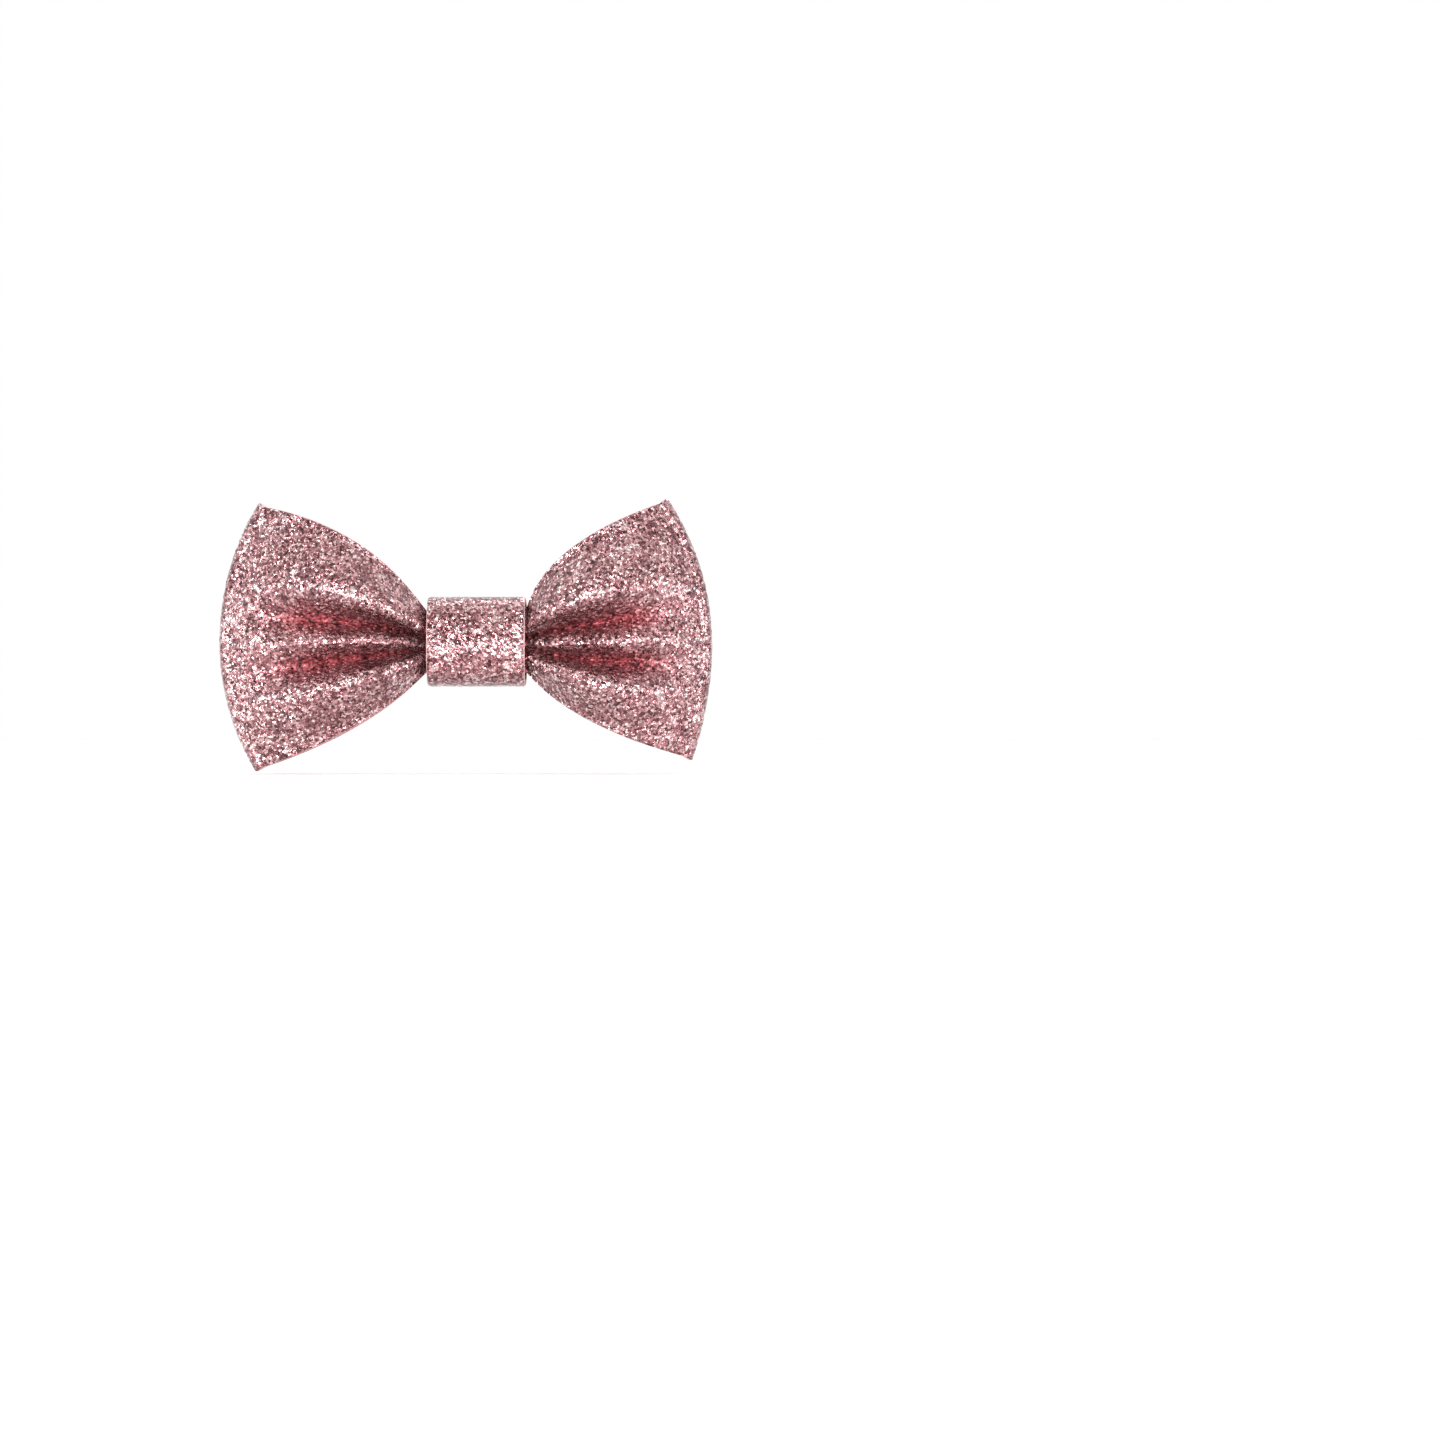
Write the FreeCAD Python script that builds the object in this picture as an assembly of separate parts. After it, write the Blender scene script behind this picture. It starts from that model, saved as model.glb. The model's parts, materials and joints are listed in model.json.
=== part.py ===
"""Glitter-canvas hair bow on a sprung alligator clip, in millimetres.

The bow stands as it is worn: +X to its right, +Y into the hair, +Z up. The origin is the middle
of the bow on the gripping face of the clip's lined arm, where the hair lies.

One canvas strip is folded into a flat loop, gathered at the waist and bound with thread. A second,
narrow strip wraps the waist together with the front arm of the clip, so the clip hangs inside the
band. The clip is two stamped jaws on a rivet, with a torsion spring between their tails.
"""

import FreeCAD, Part
import math
import os

V = FreeCAD.Vector

# --- canvas, ribbon, thread and glue --------------------------------------------------------------
CANVAS = 0.9              # glitter canvas, backing and glitter coat together
RIBBON = 0.4              # grosgrain ribbon that lines the clip's front arm
THREAD = 0.3              # sewing thread round the waist
GLUE = 0.2                # hot-melt glue between two plies
PLY_GAP = 0.05            # air left between plies that only lie on each other
THREAD_PLAY = 0.14        # air on each side of the thread, between the strip and the band

# --- bow, seen from the front: each wing is a fan about the middle of the waist -------------------
LEFT_REACH = 37.7         # waist to the middle of the left fold
LEFT_UPPER_REACH = 37.9   # waist to the left wing's upper corner
LEFT_LOWER_REACH = 37.6
LEFT_UPPER_ANGLE = 32.7   # degrees that the upper corner stands above the level
LEFT_LOWER_ANGLE = 30.7
RIGHT_REACH = 34.5
RIGHT_UPPER_REACH = 35.0
RIGHT_LOWER_REACH = 36.2
RIGHT_UPPER_ANGLE = 37.1
RIGHT_LOWER_ANGLE = 29.1
LEFT_UPPER_SHOULDER = (0.28, 0.77)    # where each edge swells, as shares of its way out and up
LEFT_LOWER_SHOULDER = (0.27, 0.57)
RIGHT_UPPER_SHOULDER = (0.02, 0.54)
RIGHT_LOWER_SHOULDER = (0.22, 0.58)
LEAVING = (0.05, 0.06)    # the way an edge leaves the neck, in the same shares
FLAP_PAST = 5.0           # how far each rear flap runs past the middle before it ends

# --- bow, from front to back ----------------------------------------------------------------------
PLEATS = [(-1.0, 0.45), (-0.52, 1.0), (-0.17, 0.0), (-0.03, 0.2), (0.11, 0.0), (0.5, 1.0), (1.0, 0.45)]
# lower edge, lower ridge, valley, small ridge, valley, upper ridge, upper edge: place across the
# strip from -1 to 1, and height as a share of the pleats' depth
NECK_DEPTHS = (1.0, 1.8, 2.6)         # pleats at the neck, from the rearmost ply to the front panel
NECK_AIR = 0.3                        # air between one ply and the next in the valleys there
FRONT_PLEAT = 10.0                    # draws the front panel's pleats out between neck and fold
REAR_PLEAT = 7.0                      # and the rear panel's
FRONT_PUFF = 9.5                      # draws the front panel forward between neck and fold
FOLD_RADIUS = 1.2                     # middle of the canvas round each end fold
FOLD_FORWARD = 3.0                    # how far the fold's middle lies in front of the rearmost ply

# --- band -----------------------------------------------------------------------------------------
BAND_WIDTH = 14.5
BAND_HEIGHT = 13.3
BAND_OVERLAP = 6.0        # how far the band's ends lie over each other at the back
THREAD_TURNS = 8

# --- clip -----------------------------------------------------------------------------------------
STEEL = 0.6               # sheet the jaws are stamped from
ARM_WIDTH = 8.0           # front arm
JAW_WIDTH = 6.6           # rear jaw
TIP_X = -25.0             # where the jaws end
TAIL_X = 23.0             # where the tails end
PIVOT_X = 10.6
PIVOT_Y = 2.4             # rivet's axis, behind the gripping face
EAR_RADIUS = 1.6          # round end of each ear about the rivet
EAR_HALF = 2.6            # half-length of an ear where it leaves its plate
EAR_GAP = 0.12            # side play between the two pairs of ears
RIVET_RADIUS = 0.8
RIVET_PLAY = 0.05         # radial running clearance in the rear jaw
RIVET_HEAD = 1.3
RIVET_HEAD_THICK = 0.35
JAW_ROOM = 1.25           # from the spring's coil round the rivet to the rear jaw's inner face
TAIL_ANGLE = 24.0         # degrees the rear jaw's tail stands away from the front arm
TOOTH = 1.2               # length of the teeth, from the jaw's inner face
TOOTH_PITCH = 1.6
TEETH = 6                 # in each row
TOOTH_THICK = 0.6
TEETH_CLEAR = 0.1         # air between the tooth points and the ribbon when shut
BEAD_RADIUS = 1.1         # pressed bead that stiffens the rear jaw
BEAD_RISE = 0.45
RIB_RADIUS = 0.35         # raised finger ribs across the tail
RIBS = 4
RIB_PITCH = 1.5

# --- spring ---------------------------------------------------------------------------------------
WIRE = 0.55
COIL_TURNS = 4
COIL_PITCH = 0.7
LEG = 7.0                 # straight legs under the tails
LEG_CLEAR = 0.06          # air between a leg and the tail it presses

# --- places that follow from the sizes ------------------------------------------------------------
ARM_INNER = -RIBBON                              # steel arm's face under the ribbon it grips with
ARM_OUTER = ARM_INNER - STEEL
LINING_FRONT = ARM_OUTER - RIBBON
NECK = BAND_WIDTH / 2 + CANVAS / 3               # half-length of the gathered neck under the band
NECK_STEP = CANVAS + NECK_AIR                    # from one ply to the next there
THREAD_ROOM = THREAD + 2 * THREAD_PLAY
BAND_HALF = (BAND_HEIGHT - CANVAS) / 2           # middle of the band above the waist
NECK_HALF = BAND_HALF - CANVAS - THREAD_ROOM - 3 * PLY_GAP   # middle of the canvas at the neck's edges
OUTER_FLAP = LINING_FRONT - THREAD_ROOM - CANVAS / 2     # valleys of the ply that lies on the clip
INNER_FLAP = OUTER_FLAP - NECK_STEP                      # valleys of the ply in front of it
FRONT_PANEL = INNER_FLAP - NECK_STEP                     # valleys of the front panel
NECK_FRONT = FRONT_PANEL - NECK_DEPTHS[2] - CANVAS / 2   # the gathered neck's frontmost point
BAND_FRONT = NECK_FRONT - THREAD_ROOM - CANVAS / 2
BAND_UNDER = CANVAS / 2 + PLY_GAP                # middle of the band's first ply behind the clip's arm
BAND_OVER = BAND_UNDER + CANVAS + GLUE           # middle of its second ply
FOLD_Y = OUTER_FLAP - FOLD_FORWARD
JAW_AT_PIVOT = PIVOT_Y + RIVET_RADIUS + WIRE + JAW_ROOM      # rear jaw's inner face at the rivet
JAW_AT_TIP = TOOTH + TEETH_CLEAR
JAW_SLOPE = math.degrees(math.atan2(JAW_AT_PIVOT - JAW_AT_TIP, PIVOT_X - TIP_X))
OUTER_EARS = ARM_WIDTH / 2 + STEEL / 2           # half the width over the front arm's ears
INNER_EARS = OUTER_EARS - STEEL - EAR_GAP        # and over the rear jaw's, which turn inside them


# --- sheets ---------------------------------------------------------------------------------------
def clamped(count, degree):
    """Knots and multiplicities of a clamped uniform spline with this many poles."""
    inner = count - degree - 1
    return list(range(inner + 2)), [degree + 1] + [1] * inner + [degree + 1]


def surface(poles):
    """A face from rows of poles: cubic where there are four or more, straight where there are two."""
    counts = (len(poles), len(poles[0]))
    degrees = [3 if n > 3 else 1 for n in counts]
    (rows, row_mults), (across, across_mults) = (clamped(n, d) for n, d in zip(counts, degrees))
    made = Part.BSplineSurface()
    made.buildFromPolesMultsKnots(poles, row_mults, across_mults, rows, across, False, False, *degrees)
    return made.toShape()


def normals(rows):
    """The unit normal at each point of a grid, from its neighbours."""
    last_row, last = len(rows) - 1, len(rows[0]) - 1
    found = []
    for i in range(last_row + 1):
        line = []
        for j in range(last + 1):
            along = rows[min(i + 1, last_row)][j] - rows[max(i - 1, 0)][j]
            across = rows[i][min(j + 1, last)] - rows[i][max(j - 1, 0)]
            line.append(along.cross(across).normalize())
        found.append(line)
    return found


def sheet_solid(rows, thickness):
    """A closed sheet of this thickness whose middle follows the grid of points."""
    half = thickness / 2
    facing = normals(rows)
    front = [[p + n * half for p, n in zip(r, m)] for r, m in zip(rows, facing)]
    back = [[p - n * half for p, n in zip(r, m)] for r, m in zip(rows, facing)]
    faces = [surface(front), surface(back)]
    faces += [surface([front[i], back[i]]) for i in (0, -1)]
    faces += [surface([[r[j] for r in front], [r[j] for r in back]]) for j in (0, -1)]
    shape = Part.makeShell(faces)
    shape.sewShape()
    solid = Part.Solid(shape.Shells[0])
    if solid.Volume < 0:
        solid.reverse()
    return solid


def lengths(made, spans):
    """The faces of a long surface cut into stretches of a few spans, which mesh and measure more exactly."""
    faces = []
    for start in range(0, spans, 6):
        piece = made.copy()
        piece.segment(start, min(start + 6, spans), 0, 1)
        faces.append(piece.toShape())
    return faces


def tube(points, radius, up):
    """A round wire with flat ends along these points; up is a direction that the wire never runs in."""
    frames = []
    for i, p in enumerate(points):
        along = (points[min(i + 1, len(points) - 1)] - points[max(i - 1, 0)]).normalize()
        side = along.cross(up).normalize()
        frames.append((p, side, side.cross(along)))
    knots, mults = clamped(len(points), 3)
    quarters = []
    for start in range(0, 360, 90):
        ring = [(math.radians(start + a), radius * r) for a, r in ((0, 1), (45, math.sqrt(2)), (90, 1))]
        rows = []
        for p, side, over in frames:
            rows.append([p + (side * math.cos(a) + over * math.sin(a)) * r for a, r in ring])
        weights = [[1, math.sqrt(0.5), 1]] * len(rows)
        made = Part.BSplineSurface()
        made.buildFromPolesMultsKnots(rows, mults, [3, 3], knots, [0, 1], False, False, 3, 2, weights)
        quarters += lengths(made, knots[-1])
    rims = []
    edges = [e for q in quarters for e in q.Edges if e.Length < 2 * radius]
    for p, _, _ in (frames[0], frames[-1]):
        arcs = [e for e in edges if (e.CenterOfMass - p).Length < radius]
        rims.append(Part.Face(Part.Wire(Part.sortEdges(arcs)[0])))
    shape = Part.makeShell(quarters + rims)
    shape.sewShape()
    solid = Part.Solid(shape.Shells[0])
    if solid.Volume < 0:
        solid.reverse()
    return solid


# --- bow ------------------------------------------------------------------------------------------
def ease(x):
    """A smooth step from 0 to 1 as x goes from 0 to 1."""
    x = min(1.0, max(0.0, x))
    return x * x * (3 - 2 * x)


def bend(start, pull, end, s):
    """From start to end as s goes from 0 to 1, drawn towards pull on the way."""
    return start * (1 - s) ** 2 + 2 * pull * s * (1 - s) + end * s * s


def pleat(t):
    """Height of the pleats across the gathered strip, as a share of their depth."""
    for (t0, h0), (t1, h1) in zip(PLEATS, PLEATS[1:]):
        if t <= t1:
            return h0 + (h1 - h0) * ease((t - t0) / (t1 - t0))
    return PLEATS[-1][1]


def crown(t):
    """Height across the strip where the pleats have opened out into one swell."""
    return 1 - 0.7 * t * t


class Wing:
    """One side of the bow: s runs from neck to fold, 0 to 1, and t from lower to upper edge, -1 to 1."""

    def __init__(self, side, reach, upper, lower):
        """Corners are (reach, angle, shoulder) of the upper and lower edges."""
        self.side, self.reach = side, reach
        self.edges = {1: upper, -1: lower}

    def edge(self, s, end):
        """(x, z) on the upper (end 1) or lower (end -1) edge."""
        reach, angle, shoulder = self.edges[end]
        out = reach * math.cos(math.radians(angle)) - NECK
        up = reach * math.sin(math.radians(angle)) - NECK_HALF
        pulls = [(0.0, 0.0), LEAVING, shoulder, (1.0, 1.0)]
        weights = [(1 - s) ** 3, 3 * s * (1 - s) ** 2, 3 * s * s * (1 - s), s ** 3]
        x = NECK + out * sum(w * p[0] for w, p in zip(weights, pulls))
        z = NECK_HALF + up * sum(w * p[1] for w, p in zip(weights, pulls))
        return x, end * z

    def place(self, s, t):
        """(x, z) of a point of the wing; at the fold it lies on an arc about the waist."""
        share = (1 + t) / 2
        (xu, zu), (xl, zl) = self.edge(s, 1), self.edge(s, -1)
        x, z = xl + (xu - xl) * share, zl + (zu - zl) * share
        (xu, zu), (xl, zl) = self.edge(1, 1), self.edge(1, -1)
        chord = math.hypot(xl + (xu - xl) * share, zl + (zu - zl) * share)
        corner = self.edges[1 if t > 0 else -1][0]
        arc = self.reach + (corner - self.reach) * t * t
        grow = 1 + (arc / chord - 1) * s * s
        return x * grow, z * grow

    def lift(self, s, t):
        """Height of the wing's surface at this place, as a share of its depth there."""
        opened = 0.85 * s
        return pleat(t) * (1 - opened) + crown(t) * opened

    def front(self, s, t):
        """y of the front panel."""
        base = bend(FRONT_PANEL, -FRONT_PUFF, FOLD_Y - FOLD_RADIUS, s)
        return base - bend(NECK_DEPTHS[2], FRONT_PLEAT, 0, s) * self.lift(s, t)

    def rear(self, s, t, flap, depth):
        """y of the rear panel, whose middle lies on the clip's arm near the waist."""
        base = bend(flap, OUTER_FLAP, FOLD_Y + FOLD_RADIUS, s)
        return base - bend(depth, REAR_PLEAT, 0, s) * self.lift(s, t)

    def point(self, s, t, y):
        """A point of a panel, held back by the fold's radius so that the fold itself reaches the arc."""
        x, z = self.place(s, t)
        inset = 1 - FOLD_RADIUS * s / self.reach
        return V(self.side * x * inset, y, z * inset)

    def fold(self, turn, t):
        """A point of the end fold; turn goes from 0 at the rear panel to 180 at the front panel."""
        x, z = self.place(1, t)
        out = 1 - FOLD_RADIUS * (1 - math.sin(math.radians(turn))) / self.reach
        return V(self.side * x * out, FOLD_Y + FOLD_RADIUS * math.cos(math.radians(turn)), z * out)


LEFT = Wing(-1, LEFT_REACH,
            (LEFT_UPPER_REACH, LEFT_UPPER_ANGLE, LEFT_UPPER_SHOULDER),
            (LEFT_LOWER_REACH, LEFT_LOWER_ANGLE, LEFT_LOWER_SHOULDER))
RIGHT = Wing(1, RIGHT_REACH,
             (RIGHT_UPPER_REACH, RIGHT_UPPER_ANGLE, RIGHT_UPPER_SHOULDER),
             (RIGHT_LOWER_REACH, RIGHT_LOWER_ANGLE, RIGHT_LOWER_SHOULDER))
ACROSS = [j / 14 - 1 for j in range(29)]
STATIONS = [0.0, 0.05, 0.1, 0.16, 0.23, 0.31, 0.4, 0.5, 0.6, 0.7, 0.8, 0.88, 0.95]
TURNS = [-10, 20, 50, 90, 130, 160, 190]


def wing_rows(wing, flap, depth):
    """Rows of points from the neck out along the rear panel, round the fold and back along the front."""
    rows = [[wing.point(s, t, wing.rear(s, t, flap, depth)) for t in ACROSS] for s in STATIONS]
    rows += [[wing.fold(turn, t) for t in ACROSS] for turn in TURNS]
    rows += [[wing.point(s, t, wing.front(s, t)) for t in ACROSS] for s in reversed(STATIONS)]
    return rows


def neck_row(x, base, depth):
    """A row of points across the gathered neck at x."""
    return [V(x, base - depth * pleat(t), t * NECK_HALF) for t in ACROSS]


def bow_strip():
    """The whole strip: the left flap's end, left wing, neck, right wing and the right flap's end."""
    outer, inner, front = NECK_DEPTHS
    steps = [FLAP_PAST, FLAP_PAST / 2, 0, -FLAP_PAST / 2, -FLAP_PAST]
    rows = [neck_row(x, INNER_FLAP, inner) for x in steps]
    rows += wing_rows(LEFT, INNER_FLAP, inner)
    rows += [neck_row(x, FRONT_PANEL, front) for x in (-NECK / 2, 0, NECK / 2)]
    rows += reversed(wing_rows(RIGHT, OUTER_FLAP, outer))
    rows += [neck_row(x, OUTER_FLAP, outer) for x in steps]
    return sheet_solid(rows, CANVAS)


# --- thread and band ------------------------------------------------------------------------------
def around(turn, back, front, half, flat, power):
    """(y, z) on a rounded loop about the waist: 0 degrees is its back, 90 its top, 180 its front.

    The back is flat as far as this height above and below the middle, and the front is an ellipse
    whose corners fill out as the power falls below 1.
    """
    c, s = math.cos(math.radians(turn)), math.sin(math.radians(turn))
    z = half * math.copysign(abs(s) ** power, s)
    if c < 0:
        share = -abs(c) ** power
    else:
        share = math.sqrt(1 - (max(0.0, abs(z) - flat) / (half - flat)) ** 2)
    return (back + front) / 2 + (back - front) / 2 * share, z


def evenly(points, count):
    """This many points at even steps along the line through the given (y, z) points."""
    marks = [0.0]
    for a, b in zip(points, points[1:]):
        marks.append(marks[-1] + math.dist(a, b))
    found = []
    for i in range(count):
        want = marks[-1] * i / (count - 1)
        at = max(1, next((k for k, m in enumerate(marks) if m >= want - 1e-9), len(marks) - 1))
        share = (want - marks[at - 1]) / (marks[at] - marks[at - 1])
        found.append(tuple(a + (b - a) * share for a, b in zip(points[at - 1], points[at])))
    return found


def waist_thread():
    """The thread that holds the gathers, wound side by side with both ends at the back."""
    radius = THREAD / 2
    front = NECK_FRONT - THREAD_PLAY - radius
    back = OUTER_FLAP + CANVAS / 2 + THREAD_PLAY + radius
    half = BAND_HALF - CANVAS / 2 - THREAD_PLAY - radius
    steps = 22
    turn = evenly([around(a, back, front, half, 0.97 * NECK_HALF, 0.57) for a in range(0, 361, 2)], steps + 1)
    points = []
    for i in range(steps * THREAD_TURNS + 1):
        y, z = turn[i % steps]
        points.append(V((THREAD + PLY_GAP) * (i / steps - THREAD_TURNS / 2), y, z))
    return tube(points, radius, V(1, 0, 0))


def centre_band():
    """The band: down from under its overlap, below the waist, up the front and down over its own end."""
    lap = BAND_OVERLAP / 2
    flat = ARM_WIDTH / 2 + CANVAS / 4
    outline = [(BAND_UNDER, lap)]
    outline += [around(-a, BAND_UNDER, BAND_FRONT, BAND_HALF, flat, 0.6) for a in range(0, 180, 2)]
    outline += [around(a, BAND_OVER, BAND_FRONT, BAND_HALF, flat, 0.6) for a in range(180, -1, -2)]
    outline += [(BAND_OVER, -lap)]
    stations = [BAND_WIDTH * (i / 4 - 0.5) for i in range(5)]
    return sheet_solid([[V(x, y, z) for x in stations] for y, z in evenly(outline, 64)], CANVAS)


# --- glue -----------------------------------------------------------------------------------------
def dab(x, y, z, length, thickness, height):
    """A flat dab of glue with rounded ends, centred at x, y, z."""
    body = Part.makeBox(length, thickness, height, V(x - length / 2, y - thickness / 2, z - height / 2))
    corners = [e for e in body.Edges if abs(e.tangentAt(e.FirstParameter).y) > 0.9]
    return body.makeFillet(0.35 * min(length, height), corners)


def flap_glue():
    """Between the two rear flaps, in their middle valley, which smoothing leaves a little shallow."""
    shallow = 0.08 * (NECK_DEPTHS[0] + NECK_DEPTHS[1]) / 2
    middle = (OUTER_FLAP + INNER_FLAP) / 2 - shallow
    return dab(0, middle, 0, 1.6 * FLAP_PAST, 0.7 * (NECK_STEP - CANVAS), 0.14 * NECK_HALF)


def arm_glue():
    """Two dabs that hold the bow's back to the lined arm, one on each side of the thread."""
    front, back = OUTER_FLAP + CANVAS / 2, LINING_FRONT
    start = THREAD_TURNS / 2 * (THREAD + PLY_GAP) + THREAD
    length = NECK - 0.8 - start
    dabs = [dab(side * (start + length / 2), (front + back) / 2, 0, length, back - front, 0.2 * NECK_HALF)
            for side in (-1, 1)]
    return Part.makeCompound(dabs)


def band_glue():
    """Between the band's overlapping ends."""
    return dab(0, (BAND_UNDER + BAND_OVER) / 2, 0, 0.8 * BAND_WIDTH, 0.8 * GLUE, 0.7 * BAND_OVERLAP)


# --- clip -----------------------------------------------------------------------------------------
def plate(x0, x1, half, thickness, y):
    """A flat plate from x0 to x1, as wide as 2 half, from y to y + thickness."""
    return Part.makeBox(x1 - x0, thickness, 2 * half, V(x0, y, -half))


def rounded(solid, radius, keep):
    """The solid with its edges along Y rounded wherever keep(x) holds."""
    upright = [e for e in solid.Edges if abs(e.tangentAt(e.FirstParameter).y) > 0.9]
    return solid.makeFillet(radius, [e for e in upright if keep(e.valueAt(e.FirstParameter).x)])


def ears(half, root, bore):
    """The two ears of a jaw, from the plate at depth root to the rivet; half is half the width over them."""
    made = []
    for z in (half - STEEL, -half):
        corners = [V(PIVOT_X - EAR_HALF, root, z), V(PIVOT_X + EAR_HALF, root, z),
                   V(PIVOT_X + EAR_RADIUS, PIVOT_Y, z), V(PIVOT_X - EAR_RADIUS, PIVOT_Y, z)]
        web = Part.Face(Part.makePolygon(corners + corners[:1])).extrude(V(0, 0, STEEL))
        eye = Part.makeCylinder(EAR_RADIUS, STEEL, V(PIVOT_X, PIVOT_Y, z))
        hole = Part.makeCylinder(bore, STEEL, V(PIVOT_X, PIVOT_Y, z))
        made.append(web.fuse(eye).cut(hole))
    return made


def front_arm():
    """The straight stamped arm that the band holds, with its ears bent back towards the rear jaw."""
    body = rounded(plate(TIP_X, TAIL_X, ARM_WIDTH / 2, STEEL, ARM_OUTER), 0.45 * ARM_WIDTH, lambda x: True)
    root = plate(PIVOT_X - EAR_HALF, PIVOT_X + EAR_HALF, OUTER_EARS, STEEL, ARM_OUTER)
    return body.fuse([root] + ears(OUTER_EARS, ARM_OUTER, RIVET_RADIUS)).removeSplitter()


def teeth(inner):
    """Two rows of pointed teeth along the edges of the jaw's tip, towards the front arm."""
    start = TIP_X + 0.2
    points = [V(start, inner, 0)]
    for i in range(TEETH):
        points.append(V(start + (i + 0.5) * TOOTH_PITCH, inner - TOOTH, 0))
        points.append(V(start + (i + 1) * TOOTH_PITCH, inner, 0))
    points += [V(start + TEETH * TOOTH_PITCH, inner + STEEL / 2, 0), V(start, inner + STEEL / 2, 0)]
    saw = Part.Face(Part.makePolygon(points + points[:1])).extrude(V(0, 0, TOOTH_THICK))
    return [saw.translated(V(0, 0, z)) for z in (JAW_WIDTH * 0.36 - TOOTH_THICK, -JAW_WIDTH * 0.36)]


def bead(inner, radius, rise):
    """A long bead with round ends along the rear jaw's arm, whose top stands rise outside the plate."""
    start, end = TIP_X + 3.5, PIVOT_X - EAR_HALF - 2.5
    y = inner + STEEL + rise - radius
    rod = Part.makeCylinder(radius, end - start, V(start, y, 0), V(1, 0, 0))
    return rod.fuse([Part.makeSphere(radius, V(x, y, 0)) for x in (start, end)])


def rear_jaw():
    """The jaw that swings: a beaded, toothed arm, ears inside the front arm's, and a raised, ribbed tail."""
    inner, half = JAW_AT_PIVOT, JAW_WIDTH / 2
    arm = plate(TIP_X, PIVOT_X + EAR_HALF, half, STEEL, inner)
    arm = rounded(arm, 0.3 * JAW_WIDTH, lambda x: x < PIVOT_X)
    root = plate(PIVOT_X - EAR_HALF, PIVOT_X + EAR_HALF, INNER_EARS, STEEL, inner)
    pressed = bead(inner, BEAD_RADIUS, BEAD_RISE).common(plate(TIP_X, TAIL_X, half, 4 * STEEL, inner))
    knee_x = PIVOT_X + EAR_HALF
    length = (TAIL_X - knee_x) / math.cos(math.radians(TAIL_ANGLE))
    tail = plate(knee_x, knee_x + length, half, STEEL, inner)
    tail = rounded(tail, 0.45 * JAW_WIDTH, lambda x: x > knee_x + 1)
    for i in range(RIBS):
        x = knee_x + length - 2.4 - i * RIB_PITCH
        rib = Part.makeCylinder(RIB_RADIUS, 0.6 * JAW_WIDTH, V(x, inner + STEEL, -0.3 * JAW_WIDTH))
        tail = tail.fuse(rib)
    tail.rotate(V(knee_x, inner, 0), V(0, 0, 1), TAIL_ANGLE - JAW_SLOPE)
    body = arm.fuse([root, pressed, tail] + teeth(inner))
    body = body.cut(bead(inner, BEAD_RADIUS - STEEL * 0.7, BEAD_RISE - STEEL * 0.8))
    body.rotate(V(PIVOT_X, inner, 0), V(0, 0, 1), JAW_SLOPE)
    return body.fuse(ears(INNER_EARS, inner + STEEL / 2, RIVET_RADIUS + RIVET_PLAY)).removeSplitter()


def hinge_rivet():
    """The rivet, set through both pairs of ears, with a head outside each outer ear."""
    half = OUTER_EARS
    body = Part.makeCylinder(RIVET_RADIUS, 2 * half, V(PIVOT_X, PIVOT_Y, -half))
    for way in (1, -1):
        head = Part.makeCylinder(RIVET_HEAD, RIVET_HEAD_THICK, V(PIVOT_X, PIVOT_Y, way * half), V(0, 0, way))
        rim = [e for e in head.Edges if e.Closed and abs(e.CenterOfMass.z) > half + 0.9 * RIVET_HEAD_THICK]
        body = body.fuse(head.makeFillet(0.7 * RIVET_HEAD_THICK, rim))
    return body.removeSplitter()


def leg_turn(distance, radius):
    """Degrees that a leg off a coil of this radius turns for its end to lie this far from the pin."""
    return math.degrees(math.asin(distance / math.hypot(radius, LEG)) - math.atan2(radius, LEG))


def torsion_spring():
    """One wire: a leg under the front tail, the coil round the rivet and a leg under the rear tail."""
    slope = math.radians(TAIL_ANGLE)
    knee = (EAR_HALF, JAW_AT_PIVOT + EAR_HALF * math.tan(math.radians(JAW_SLOPE)) - PIVOT_Y)
    room = WIRE / 2 + LEG_CLEAR
    radius = knee[1] * math.cos(slope) - knee[0] * math.sin(slope) - room
    low = leg_turn(PIVOT_Y - ARM_INNER - room, radius)
    sweep = 360 * COIL_TURNS + 180 - low - TAIL_ANGLE
    steps = int(sweep // 15)
    coil = []
    for i in range(steps + 1):
        turn = math.radians(-90 - low - sweep * i / steps)
        coil.append(V(radius * math.cos(turn), radius * math.sin(turn), COIL_PITCH * sweep * i / steps / 360))
    inward = V(math.cos(math.radians(-low)), math.sin(math.radians(-low)), 0) * LEG
    outward = V(math.cos(slope), math.sin(slope), 0) * LEG
    shares = [1, 0.7, 0.4, 0.15]
    first = [coil[0] + inward * s for s in shares]
    last = [coil[-1] + outward * s for s in reversed(shares)]
    points = first + coil + last
    body = tube(points, WIRE / 2, V(0, 0, 1))
    body.translate(V(PIVOT_X, PIVOT_Y, -COIL_PITCH * sweep / 720))
    return body


def clip_lining():
    """Grosgrain ribbon along the arm's front, round its tip and back to the ears along the gripping face."""
    half = ARM_WIDTH / 2
    body = plate(TIP_X, TAIL_X - 0.5, half, RIBBON, LINING_FRONT)
    gripping = plate(TIP_X, PIVOT_X - EAR_HALF - 0.6, half, RIBBON, ARM_INNER)
    turn = plate(TIP_X - RIBBON, TIP_X, half, STEEL + 2 * RIBBON, LINING_FRONT)
    return body.fuse([gripping, turn]).removeSplitter()


MAKERS = [bow_strip, centre_band, waist_thread, flap_glue, arm_glue, band_glue,
          clip_lining, front_arm, rear_jaw, hinge_rivet, torsion_spring]

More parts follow.
